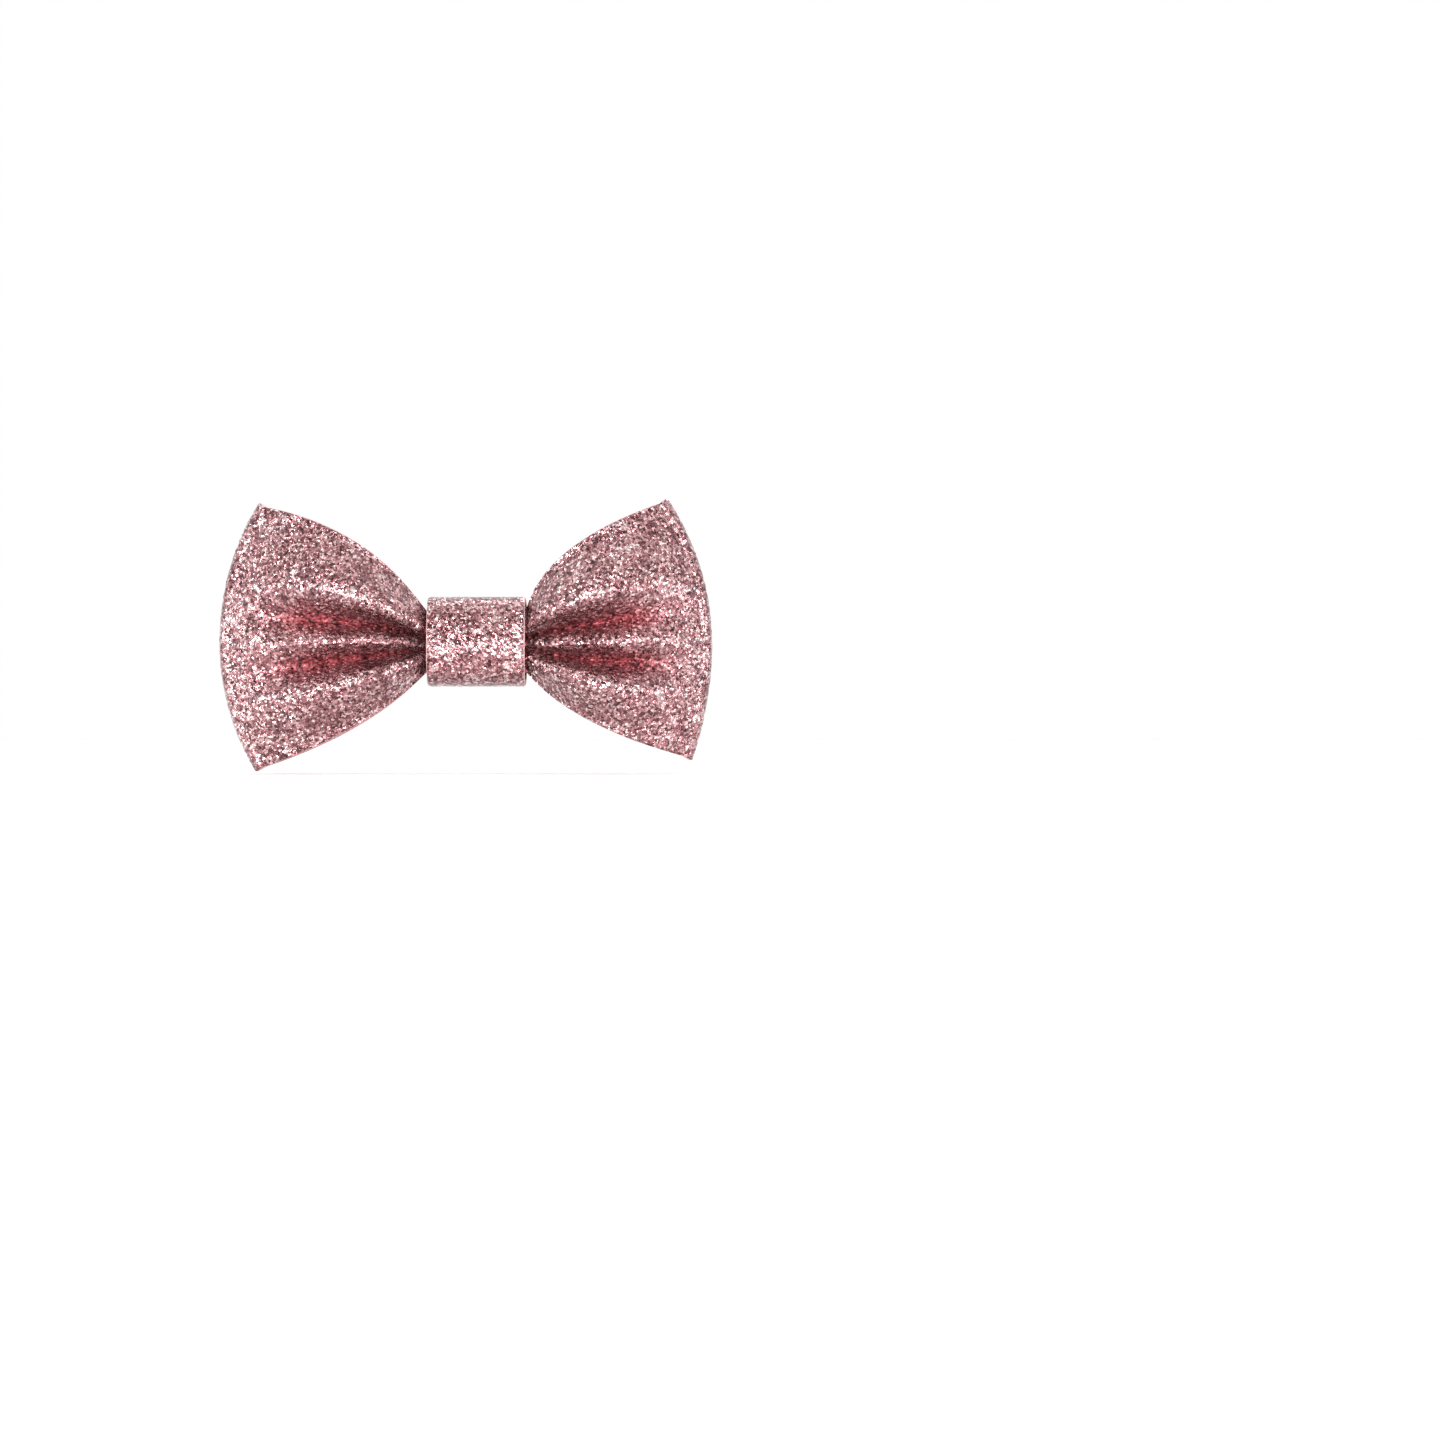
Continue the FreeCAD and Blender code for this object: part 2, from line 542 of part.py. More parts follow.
os.makedirs("parts", exist_ok=True)
for make in MAKERS:
    shape = make()
    box = shape.BoundBox
    shape.exportStep(f"parts/{make.__name__}.step")
    print(f"{make.__name__}: valid {shape.isValid()}, {shape.Volume:.1f} mm3,"
          f" {box.XLength:.1f} x {box.YLength:.1f} x {box.ZLength:.1f} mm")
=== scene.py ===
"""A glitter-canvas hair bow on its alligator clip, dressed for a plain studio.

Lengths are in metres. The bow stands as it is worn: +X to its right, +Y into the hair, +Z up.
"""

import json
import logging
import math
from dataclasses import dataclass, field
from enum import Enum
from typing import Mapping, Sequence

import bpy
import numpy as np
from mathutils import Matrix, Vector

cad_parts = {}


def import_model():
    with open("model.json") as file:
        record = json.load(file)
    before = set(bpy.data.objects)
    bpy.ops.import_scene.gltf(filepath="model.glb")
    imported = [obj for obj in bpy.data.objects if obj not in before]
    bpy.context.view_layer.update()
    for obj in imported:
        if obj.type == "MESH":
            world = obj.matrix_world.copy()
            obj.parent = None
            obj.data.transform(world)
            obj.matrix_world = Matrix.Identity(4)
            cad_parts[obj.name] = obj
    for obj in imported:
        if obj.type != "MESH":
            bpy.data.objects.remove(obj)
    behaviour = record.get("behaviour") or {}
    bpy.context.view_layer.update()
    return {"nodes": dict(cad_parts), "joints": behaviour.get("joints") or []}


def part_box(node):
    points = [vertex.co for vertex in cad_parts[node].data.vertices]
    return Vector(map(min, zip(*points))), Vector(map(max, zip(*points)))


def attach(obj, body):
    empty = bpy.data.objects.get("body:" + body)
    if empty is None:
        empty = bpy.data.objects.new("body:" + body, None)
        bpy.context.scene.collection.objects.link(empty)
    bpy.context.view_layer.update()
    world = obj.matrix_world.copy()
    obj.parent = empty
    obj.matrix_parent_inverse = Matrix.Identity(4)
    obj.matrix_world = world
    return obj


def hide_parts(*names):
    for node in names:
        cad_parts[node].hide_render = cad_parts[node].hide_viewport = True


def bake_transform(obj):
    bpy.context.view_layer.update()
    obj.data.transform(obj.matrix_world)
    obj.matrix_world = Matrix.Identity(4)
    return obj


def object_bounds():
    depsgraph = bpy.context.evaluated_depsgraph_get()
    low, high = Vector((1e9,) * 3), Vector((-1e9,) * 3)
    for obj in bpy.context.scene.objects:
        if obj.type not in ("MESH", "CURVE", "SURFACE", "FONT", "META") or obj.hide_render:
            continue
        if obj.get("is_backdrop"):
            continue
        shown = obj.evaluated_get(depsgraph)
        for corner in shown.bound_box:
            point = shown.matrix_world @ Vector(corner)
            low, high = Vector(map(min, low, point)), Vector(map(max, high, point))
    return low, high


LOG = logging.getLogger("hair_bow")
Colour = tuple[float, float, float]


# --- shader writing -------------------------------------------------------------------------------
class Value:
    """A shader value or colour. Arithmetic on it adds Math nodes."""

    def __init__(self, graph: "Graph", socket: bpy.types.NodeSocket) -> None:
        """Wraps one output socket of a graph."""
        self.graph = graph
        self.socket = socket

    def _math(self, operation: str, *others: object) -> "Value":
        """Adds a Math node.

        Args:
            operation: the node's operation.
            others: the sockets' values in order, this value among them.

        Returns:
            The node's result.
        """
        sockets = dict(enumerate(others))
        return self.graph.node("ShaderNodeMath", {"operation": operation}, sockets)[0]

    def __add__(self, other: object) -> "Value":
        """Sum."""
        return self._math("ADD", self, other)

    def __radd__(self, other: object) -> "Value":
        """Sum, with a number in front."""
        return self._math("ADD", other, self)

    def __sub__(self, other: object) -> "Value":
        """Difference."""
        return self._math("SUBTRACT", self, other)

    def __rsub__(self, other: object) -> "Value":
        """Difference from a number."""
        return self._math("SUBTRACT", other, self)

    def __mul__(self, other: object) -> "Value":
        """Product."""
        return self._math("MULTIPLY", self, other)

    def __rmul__(self, other: object) -> "Value":
        """Product, with a number in front."""
        return self._math("MULTIPLY", other, self)

    def __pow__(self, other: object) -> "Value":
        """Power."""
        return self._math("POWER", self, other)

    def sine(self) -> "Value":
        """Sine of an angle in radians."""
        return self._math("SINE", self)

    def clamped(self) -> "Value":
        """The value held between 0 and 1."""
        return self._math("MINIMUM", self._math("MAXIMUM", self, 0.0), 1.0)

    def stepped(self, low: float, high: float) -> "Value":
        """A smooth step from 0 at low to 1 at high.

        Args:
            low: where the step starts.
            high: where it ends.

        Returns:
            The stepped value.
        """
        settings = {"interpolation_type": "SMOOTHSTEP"}
        sockets = {"Value": self, "From Min": low, "From Max": high}
        return self.graph.node("ShaderNodeMapRange", settings, sockets)["Result"]


class Outputs:
    """The outputs of a node, by name or number."""

    def __init__(self, graph: "Graph", node: bpy.types.Node) -> None:
        """Wraps a node of a graph."""
        self.graph = graph
        self.made = node

    def __getitem__(self, key: int | str) -> Value:
        """One output as a value."""
        return Value(self.graph, self.made.outputs[key])


class Graph:
    """The node tree of one new material or world."""

    def __init__(self, owner: bpy.types.Material | bpy.types.World) -> None:
        """Empties the owner's node tree.

        Args:
            owner: the material or world.
        """
        self.owner = owner
        self.owner.use_nodes = True
        self.tree = self.owner.node_tree
        self.tree.nodes.clear()

    @classmethod
    def material(cls, name: str) -> "Graph":
        """The empty graph of a new material."""
        return cls(bpy.data.materials.new(name))

    def node(self, kind: str, settings: Mapping[str, object] | None = None,
             sockets: Mapping[int | str, object] | None = None) -> Outputs:
        """Adds any node.

        Args:
            kind: the node's type.
            settings: its properties, which are set first; "stops" are a ramp's (place, colour) pairs.
            sockets: a value or link for each input, by name or number.

        Returns:
            The node's outputs.
        """
        made = self.tree.nodes.new(kind)
        for name, value in (settings or {}).items():
            if name == "stops":
                self._set_stops(made.color_ramp, value)
            else:
                setattr(made, name, value)
        for key, value in (sockets or {}).items():
            if isinstance(value, Value):
                self.tree.links.new(value.socket, made.inputs[key])
            else:
                made.inputs[key].default_value = value
        return Outputs(self, made)

    @staticmethod
    def _set_stops(ramp: bpy.types.ColorRamp, stops: Sequence[tuple[float, Colour]]) -> None:
        """Gives a colour ramp these stops.

        Args:
            ramp: the ramp.
            stops: (place, colour) pairs in rising order.
        """
        while len(ramp.elements) < len(stops):
            ramp.elements.new(1.0)
        for element, (place, colour) in zip(ramp.elements, stops):
            element.position = place
            element.color = (*colour, 1.0)

    def ramp(self, value: Value, stops: Sequence[tuple[float, Colour]]) -> Value:
        """A colour picked along the stops by a value."""
        return self.node("ShaderNodeValToRGB", {"stops": stops}, {"Fac": value})["Color"]

    def mix(self, share: object, a: object, b: object, blend: str = "MIX") -> Value:
        """Mixes two colours.

        Args:
            share: how much of b there is.
            a: colour or link.
            b: colour or link.
            blend: the blend mode.

        Returns:
            The mixed colour.
        """
        full = {6: self._colour(a), 7: self._colour(b), 0: share}
        return self.node("ShaderNodeMix", {"data_type": "RGBA", "blend_type": blend}, full)[2]

    @staticmethod
    def _colour(value: object) -> object:
        """A colour with its alpha, or the link as it is."""
        return value if isinstance(value, Value) else (*value, 1.0)

    def vector(self, operation: str, sockets: Mapping[int | str, object]) -> Value:
        """The vector that a Vector Math node gives."""
        return self.node("ShaderNodeVectorMath", {"operation": operation}, sockets)["Vector"]

    def place(self) -> Value:
        """The point being shaded, in the piece's own coordinates."""
        return self.node("ShaderNodeTexCoord")["Object"]

    def attribute(self, name: str, output: str = "Fac") -> Value:
        """A value stored on the mesh."""
        return self.node("ShaderNodeAttribute", {"attribute_name": name})[output]

    def noise(self, vector: Value, scale: float, detail: float = 2.0) -> Value:
        """Soft noise from 0 to 1, with this many features in a metre."""
        sockets = {"Vector": vector, "Scale": scale, "Detail": detail}
        return self.node("ShaderNodeTexNoise", None, sockets)["Fac"]

    def cells(self, vector: Value, size: float, feature: str = "F1") -> Outputs:
        """Random cells about this far across."""
        sockets = {"Vector": vector, "Scale": 1.0 / size}
        return self.node("ShaderNodeTexVoronoi", {"feature": feature}, sockets)

    def bump(self, height: Value, depth: float, normal: Value | None = None) -> Value:
        """The normal of a surface with this relief.

        Args:
            height: the relief, from 0 to 1.
            depth: how deep 1 is.
            normal: the normal that it starts from.

        Returns:
            The new normal.
        """
        sockets: dict[int | str, object] = {"Height": height, "Distance": depth, "Strength": 1.0}
        if normal is not None:
            sockets["Normal"] = normal
        return self.node("ShaderNodeBump", None, sockets)["Normal"]

    def finish(self, sockets: Mapping[int | str, object]) -> bpy.types.Material:
        """Ends the tree in one principled shader.

        Args:
            sockets: the shader's inputs.

        Returns:
            The material.
        """
        shader = self.node("ShaderNodeBsdfPrincipled", None, sockets)["BSDF"]
        self.node("ShaderNodeOutputMaterial", None, {"Surface": shader})
        return self.owner


# --- finishes -------------------------------------------------------------------------------------
@dataclass(frozen=True)
class RoseGlitter:
    """Rose-pink glitter flakes set on canvas: most lie nearly flat and a few stand well out of line."""

    flake: float = 0.00036
    fine_flake: float = 0.00019
    lean_least: float = 0.30
    lean_most: float = 1.15
    stops: tuple[tuple[float, Colour], ...] = (
        (0.00, (0.020, 0.006, 0.008)), (0.24, (0.12, 0.037, 0.044)), (0.48, (0.33, 0.140, 0.153)),
        (0.68, (0.53, 0.280, 0.290)), (0.84, (0.82, 0.620, 0.620)), (1.00, (0.98, 0.940, 0.930)))
    # The tint multiplied into the colour in the creases: painted shade.
    crease_shade_tint: Colour = (0.80, 0.21, 0.25)

    def tilted(self, g: Graph, flake: Outputs, most: float) -> Value:
        """How far each flake leans out of the surface.

        Args:
            g: the material's graph.
            flake: the cells that stand for flakes.
            most: the most that one leans.

        Returns:
            The vector to add to the surface's normal.
        """
        pick = g.node("ShaderNodeSeparateColor", None, {0: flake["Color"]})
        amount = self.lean_least + (pick[1] ** 3.0) * most
        lean = g.vector("SUBTRACT", {0: flake["Color"], 1: (0.5, 0.5, 0.5)})
        return g.vector("SCALE", {0: lean, "Scale": amount})

    def material(self) -> bpy.types.Material:
        """The glitter's material.

        Returns:
            The material.
        """
        g = Graph.material("rose_glitter")
        place = g.place()
        flake = g.cells(place, self.flake)
        fine = g.cells(place, self.fine_flake)
        gap = g.cells(place, self.flake, "DISTANCE_TO_EDGE")["Distance"]
        pick = g.node("ShaderNodeSeparateColor", None, {0: flake["Color"]})
        fine_pick = g.node("ShaderNodeSeparateColor", None, {0: fine["Color"]})
        drift = g.noise(place, 240.0, 3.0)
        # How deep in the creases each place lies. It darkens the colour there as painted shade, and also
        # lowers the metal and coat and roughens the flakes.
        crease_shade = g.attribute("crease_shade")
        # The random flake tone, pulled darker in the creases as painted shade.
        shade = pick[0] * 0.66 + fine_pick[0] * 0.34 + (drift - 0.5) * 0.35 - crease_shade * 0.10
        colour = g.ramp(shade.clamped(), self.stops)
        between = 1 - gap.stepped(0.0, 0.06)
        colour = g.mix(between * 0.5, colour, self.stops[0][1])
        # Painted shade: the colour is multiplied by the deep red tint in the creases.
        colour = g.mix(crease_shade * 0.95, colour, g.mix(1.0, colour, self.crease_shade_tint, "MULTIPLY"))
        facing = g.node("ShaderNodeNewGeometry")["Normal"]
        lean = g.vector("ADD", {0: self.tilted(g, flake, self.lean_most),
                                1: self.tilted(g, fine, self.lean_most * 0.4)})
        normal = g.vector("NORMALIZE", {0: g.vector("ADD", {0: facing, 1: lean})})
        return g.finish({
            "Base Color": colour,
            "Metallic": 0.60 + pick[2] * 0.35 - crease_shade * 0.45,
            "Roughness": 0.13 + pick[1] * 0.15 + crease_shade * 0.35,
            "Normal": normal,
            "Coat Weight": (0.45 - crease_shade * 0.40).clamped(),
            "Coat Roughness": 0.16,
        })


@dataclass(frozen=True)
class CanvasBacking:
    """The plain woven side of the canvas, seen inside the loops."""

    colour: Colour = (0.50, 0.205, 0.222)
    pale: Colour = (0.64, 0.340, 0.352)
    thread: float = 0.00042

    def material(self) -> bpy.types.Material:
        """The backing's material, with a plain weave that follows the cloth.

        Returns:
            The material.
        """
        g = Graph.material("canvas_backing")
        cloth = g.node("ShaderNodeSeparateXYZ", None, {0: g.attribute("cloth", "Vector")})
        turn = math.pi / self.thread
        warp, weft = (cloth["X"] * turn).sine(), (cloth["Y"] * turn).sine()
        weave = warp * weft * 0.5 + 0.5
        fibre = g.noise(g.place(), 5200.0, 3.0)
        colour = g.mix(weave * 0.6 + fibre * 0.4, self.colour, self.pale)
        return g.finish({
            "Base Color": colour,
            "Roughness": 0.82 + fibre * 0.15,
            "Normal": g.bump(weave * 0.7 + fibre * 0.3, 0.00009),
            "Sheen Weight": 0.3,
        })


@dataclass(frozen=True)
class CutCanvas:
    """The cut edge of the canvas: pale fibres with a trace of the dye."""

    colour: Colour = (0.52, 0.260, 0.270)
    pale: Colour = (0.72, 0.560, 0.550)

    def material(self) -> bpy.types.Material:
        """The edge's material.

        Returns:
            The material.
        """
        g = Graph.material("cut_canvas")
        place = g.place()
        fray = g.noise(place, 3800.0, 4.0)
        stain = g.noise(place, 700.0, 2.0)
        colour = g.mix((fray * 0.7 + stain * 0.5 - 0.2).clamped(), self.pale, self.colour)
        return g.finish({
            "Base Color": colour,
            "Roughness": 0.86 + fray * 0.12,
            "Normal": g.bump(fray, 0.00012),
        })


@dataclass(frozen=True)
class Grosgrain:
    """Ribbed ribbon in a dusty rose."""

    colour: Colour = (0.36, 0.120, 0.140)
    light: Colour = (0.54, 0.240, 0.258)
    fine: float = 0.00016

    def material(self) -> bpy.types.Material:
        """The ribbon's material: fine threads across raised ribs.

        Returns:
            The material.
        """
        g = Graph.material("grosgrain_ribbon")
        cloth = g.node("ShaderNodeSeparateXYZ", None, {0: g.attribute("cloth", "Vector")})
        threads = (cloth["Y"] * (2 * math.pi / self.fine)).sine() * 0.5 + 0.5
        rib = g.attribute("rib")
        fibre = g.noise(g.place(), 4200.0, 3.0)
        light = (rib * 0.55 + threads * 0.25 + fibre * 0.3 - 0.05).clamped()
        return g.finish({
            "Base Color": g.mix(light, self.colour, self.light),
            "Roughness": 0.40 + fibre * 0.25,
            "Normal": g.bump(threads * 0.5 + fibre * 0.5, 0.00003),
            "Sheen Weight": 0.35,
        })


class Polish(Enum):
    """How a steel piece was finished: (roughness, grain depth, tint)."""

    STAMPED = (0.24, 0.000010, (0.50, 0.495, 0.485))
    TURNED = (0.14, 0.000004, (0.58, 0.575, 0.565))
    DRAWN = (0.30, 0.000008, (0.34, 0.34, 0.345))


@dataclass(frozen=True)
class PlatedSteel:
    """Nickel-plated steel with a drawn grain, fine scratches and handling marks."""

    polish: Polish

    def material(self) -> bpy.types.Material:
        """The steel's material.

        Returns:
            The material.
        """
        roughness, depth, tint = self.polish.value
        g = Graph.material(f"steel_{self.polish.name.lower()}")
        place = g.place()
        along = g.vector("MULTIPLY", {0: place, 1: (0.06, 1.0, 1.0)})
        grain = g.noise(along, 9000.0, 3.0)
        marks = g.noise(place, 420.0, 4.0)
        wear = marks.stepped(0.55, 0.78)
        dark = tuple(0.72 * c for c in tint)
        return g.finish({
            "Base Color": g.mix(wear * 0.6, tint, dark),
            "Metallic": 1.0,
            "Roughness": roughness + grain * 0.10 + wear * 0.16,
            "Normal": g.bump(grain * 0.7 + marks * 0.3, depth),
        })


@dataclass(frozen=True)
class HotMelt:
    """Set hot-melt glue, milky and uneven."""

    colour: Colour = (0.80, 0.76, 0.66)
    clear: Colour = (0.90, 0.88, 0.82)

    def material(self) -> bpy.types.Material:
        """The glue's material.

        Returns:
            The material.
        """
        g = Graph.material("hot_melt_glue")
        lumps = g.noise(g.place(), 1400.0, 3.0)
        return g.finish({
            "Base Color": g.mix(lumps, self.colour, self.clear),
            "Roughness": 0.22 + lumps * 0.25,
            "Normal": g.bump(lumps, 0.00006),
            "Subsurface Weight": 0.3,
            "Subsurface Scale": 0.0008,
        })


@dataclass(frozen=True)
class SewingThread:
    """Twisted polyester thread."""

    colour: Colour = (0.44, 0.130, 0.160)
    light: Colour = (0.72, 0.330, 0.355)

    def material(self) -> bpy.types.Material:
        """The thread's material, with its ply running round it.

        Returns:
            The material.
        """
        g = Graph.material("sewing_thread")
        cloth = g.node("ShaderNodeSeparateXYZ", None, {0: g.attribute("cloth", "Vector")})
        ply = (cloth["X"] * 9000.0 + cloth["Y"] * 2.0).sine() * 0.5 + 0.5
        fuzz = g.noise(g.place(), 6500.0, 2.0)
        return g.finish({
            "Base Color": g.mix(ply * 0.7 + fuzz * 0.3, self.colour, self.light),
            "Roughness": 0.55 + fuzz * 0.2,
            "Normal": g.bump(ply, 0.00004),
            "Sheen Weight": 0.3,
        })


@dataclass(frozen=True)
class PaleFloor:
    """A matt white studio floor."""

    colour: Colour = (0.95, 0.95, 0.95)
    worn: Colour = (0.93, 0.93, 0.93)

    def material(self) -> bpy.types.Material:
        """The floor's material.

        Returns:
            The material.
        """
        g = Graph.material("pale_floor")
        tone = g.noise(g.place(), 3.0, 2.0)
        return g.finish({"Base Color": g.mix(tone, self.colour, self.worn), "Roughness": 0.9})


# --- mesh making ----------------------------------------------------------------------------------
def ease(x: np.ndarray) -> np.ndarray:
    """A smooth step from 0 to 1 as x goes from 0 to 1."""
    x = np.clip(x, 0.0, 1.0)
    return x * x * (3 - 2 * x)


def bend(start: float, pull: float, end: float, s: np.ndarray) -> np.ndarray:
    """From start to end as s goes from 0 to 1, drawn towards pull on the way."""
    return start * (1 - s) ** 2 + 2 * pull * s * (1 - s) + end * s * s


def grid_normals(points: np.ndarray) -> np.ndarray:
    """Unit normals of a grid of points.

    Args:
        points: rows x columns x 3.

    Returns:
        An array of the same shape.
    """
    along, across = np.gradient(points, axis=0), np.gradient(points, axis=1)
    found = np.cross(along, across)
    return found / np.maximum(np.linalg.norm(found, axis=2, keepdims=True), 1e-12)


def evenly(points: np.ndarray, count: int) -> np.ndarray:
    """Points at even steps along a line.

    Args:
        points: the line's points.
        count: how many to return.

    Returns:
        The even points, both ends among them.
    """
    marks = np.concatenate([[0.0], np.cumsum(np.linalg.norm(np.diff(points, axis=0), axis=1))])
    want = np.linspace(0.0, marks[-1], count)
    return np.stack([np.interp(want, marks, points[:, i]) for i in range(points.shape[1])], axis=1)


def around(turn: np.ndarray, ends: tuple[float, float], half: float, flat: float,
           power: float) -> np.ndarray:
    """(y, z) on a rounded loop about the waist, seen along X.

    Args:
        turn: 0 at the back, pi / 2 at the top, pi at the front.
        ends: y of the back and of the front.
        half: half the loop's height.
        flat: half the height of its flat back.
        power: below 1, how square its front is.

    Returns:
        The points.
    """
    c, s = np.cos(turn), np.sin(turn)
    z = half * np.sign(s) * np.abs(s) ** power
    corner = np.clip((np.abs(z) - flat) / (half - flat), 0.0, 1.0)
    share = np.where(c < 0, -np.abs(c) ** power, np.sqrt(1 - corner ** 2))
    return np.stack([(ends[0] + ends[1]) / 2 + (ends[0] - ends[1]) / 2 * share, z], axis=-1)


def cloth_places(points: np.ndarray, width: float) -> np.ndarray:
    """Where each point of a grid lies on its flat cloth.

    Args:
        points: rows x columns x 3.
        width: the flat cloth's width.

    Returns:
        rows x columns x 3: length along, place across, 0.
    """
    rows, columns = points.shape[:2]
    steps = np.linalg.norm(np.diff(points[:, columns // 2], axis=0), axis=1)
    along = np.concatenate([[0.0], np.cumsum(steps)])
    across = np.linspace(0.0, width, columns)
    flat = np.zeros((rows, columns, 3))
    flat[..., 0] = along[:, None]
    flat[..., 1] = across[None, :]
    return flat


def add_object(name: str, mesh: bpy.types.Mesh,
               materials: Sequence[bpy.types.Material]) -> bpy.types.Object:
    """Puts a mesh in the scene.

    Args:
        name: the piece's name.
        mesh: its mesh.
        materials: its material slots, in order.

    Returns:
        The new object.
    """
    made = bpy.data.objects.new(name, mesh)
    for material in materials:
        mesh.materials.append(material)
    bpy.context.scene.collection.objects.link(made)
    return made


@dataclass
class Layers:
    """A closed strip built from sheets of points lying on each other, from its face to its back."""

    sheets: list[np.ndarray]
    cloth: np.ndarray
    # How much painted shade each point gets in the creases.
    crease_shade: np.ndarray
    face_slot: int = 0
    back_slot: int = 1
    edge_slots: tuple[int, ...] = (2, 2)
    values: dict[str, np.ndarray] = field(default_factory=dict)

    def mesh(self, name: str) -> bpy.types.Mesh:
        """Joins the sheets into one closed mesh.

        Args:
            name: the mesh's name.

        Returns:
            The mesh, with its cloth places and the values that set painted shade in the creases.
        """
        rows, columns = self.sheets[0].shape[:2]
        size = rows * columns
        ids = [np.arange(size).reshape(rows, columns) + k * size for k in range(len(self.sheets))]
        faces, slots = [], []

        def quads(a: np.ndarray, b: np.ndarray, c: np.ndarray, d: np.ndarray, slot: int) -> None:
            """Adds a block of four-cornered faces.

            Args:
                a: each face's first corners, as vertex numbers.
                b: second corners.
                c: third corners.
                d: fourth corners.
                slot: the material slot.
            """
            block = np.stack([a.ravel(), b.ravel(), c.ravel(), d.ravel()], axis=1)
            faces.append(block)
            slots.append(np.full(len(block), slot))

        top, low = ids[0], ids[-1]
        quads(top[:-1, :-1], top[1:, :-1], top[1:, 1:], top[:-1, 1:], self.face_slot)
        quads(low[:-1, :-1], low[:-1, 1:], low[1:, 1:], low[1:, :-1], self.back_slot)
        for upper, lower, slot in zip(ids, ids[1:], self.edge_slots):
            quads(upper[:-1, 0], lower[:-1, 0], lower[1:, 0], upper[1:, 0], slot)
            quads(upper[:-1, -1], upper[1:, -1], lower[1:, -1], lower[:-1, -1], slot)
            quads(upper[0, :-1], upper[0, 1:], lower[0, 1:], lower[0, :-1], slot)
            quads(upper[-1, :-1], lower[-1, :-1], lower[-1, 1:], upper[-1, 1:], slot)
        points = np.concatenate([s.reshape(-1, 3) for s in self.sheets])
        used = np.unique(np.concatenate(faces))
        renumber = np.full(len(points), -1)
        renumber[used] = np.arange(len(used))
        mesh = bpy.data.meshes.new(name)
        mesh.from_pydata(points[used].tolist(), [], renumber[np.concatenate(faces)].tolist())
        mesh.polygons.foreach_set("material_index", np.concatenate(slots).astype(np.int32))
        count = len(self.sheets)
        cloth = np.concatenate([self.cloth.reshape(-1, 3)] * count)[used]
        mesh.attributes.new("cloth", "FLOAT_VECTOR", "POINT").data.foreach_set("vector", cloth.ravel())
        for key, grid in {"crease_shade": self.crease_shade, **self.values}.items():
            flat = np.concatenate([grid.ravel()] * count)[used]
            mesh.attributes.new(key, "FLOAT", "POINT").data.foreach_set("value", flat)
        mesh.validate()
        mesh.update()
        return mesh


@dataclass
class GlitterCanvas:
    """The make-up of the canvas that the bow and its band are cut from."""

    thickness: float = 0.0009
    coat: float = 0.00032
    roughness: float = 0.00003
    wander: float = 0.22
    trimmed: float = 0.28
    seed: int = 7

    def layers(self, middle: np.ndarray, width: float, crease_shade: np.ndarray) -> Layers:
        """Lays the canvas about a grid, with the flakes standing up unevenly from its face.

        Args:
            middle: rows x columns x 3, the middle of the canvas; its normals point out of the face.
            width: the flat width.
            crease_shade: rows x columns, how deep in the creases each place lies, which the glitter paints
                as shade.

        Returns:
            The canvas's layers: flakes, the line between coat and canvas, and the backing.
        """
        random = np.random.default_rng(self.seed)
        facing = grid_normals(middle)
        rows, columns = middle.shape[:2]
        inside = np.zeros((rows, columns, 1))
        inside[1:-1, 1:-1] = 1.0
        along, across = np.gradient(middle, axis=0), np.gradient(middle, axis=1)
        shift = random.uniform(-self.wander, self.wander, (2, rows, columns, 1)) * inside
        stand = random.normal(0.0, 1.0, (rows, columns, 1)).clip(-2.2, 2.2) * self.roughness
        step = np.linalg.norm(across, axis=2, keepdims=True)
        stand *= np.clip(step / 0.0004, 0.3, 1.0)
        face = middle + facing * (self.thickness / 2 + stand) + along * shift[0] + across * shift[1]
        for edge in (np.s_[0], np.s_[-1], np.s_[:, 0], np.s_[:, -1]):
            face[edge] -= facing[edge] * self.coat * 0.35
        face[:, 0] += across[:, 0] * self.trimmed
        face[:, -1] -= across[:, -1] * self.trimmed
        seam = middle + facing * (self.thickness / 2 - self.coat)
        back = middle - facing * self.thickness / 2
        return Layers([face, seam, back], cloth_places(middle, width), crease_shade)


@dataclass(frozen=True)
class Corner:
    """An outer corner of a wing, and the swell of the edge that runs to it."""

    reach: float
    angle: float
    shoulder: tuple[float, float]


@dataclass(frozen=True)
class Neck:
    """The gathered middle of the strip, from the ply that lies on the clip to the front panel."""

    half_length: float = 0.00755
    half_height: float = 0.00461
    valleys: tuple[float, float, float] = (-0.00239, -0.00359, -0.00479)
    depths: tuple[float, float, float] = (0.0010, 0.0018, 0.0026)
    pleats: tuple[tuple[float, float], ...] = (
        (-1.0, 0.35), (-0.50, 1.0), (-0.26, 0.0), (-0.07, 0.66), (0.11, 0.0), (0.38, 1.0), (1.0, 0.35))

    def pleat(self, t: np.ndarray) -> np.ndarray:
        """Height of the pleats across the gathered strip, as a share of their depth.

        Args:
            t: places across the strip, from -1 to 1.

        Returns:
            The share at each place.
        """
        found = np.full_like(t, self.pleats[-1][1])
        for (t0, h0), (t1, h1) in reversed(list(zip(self.pleats, self.pleats[1:]))):
            found = np.where(t <= t1, h0 + (h1 - h0) * ease((t - t0) / (t1 - t0)), found)
        return found


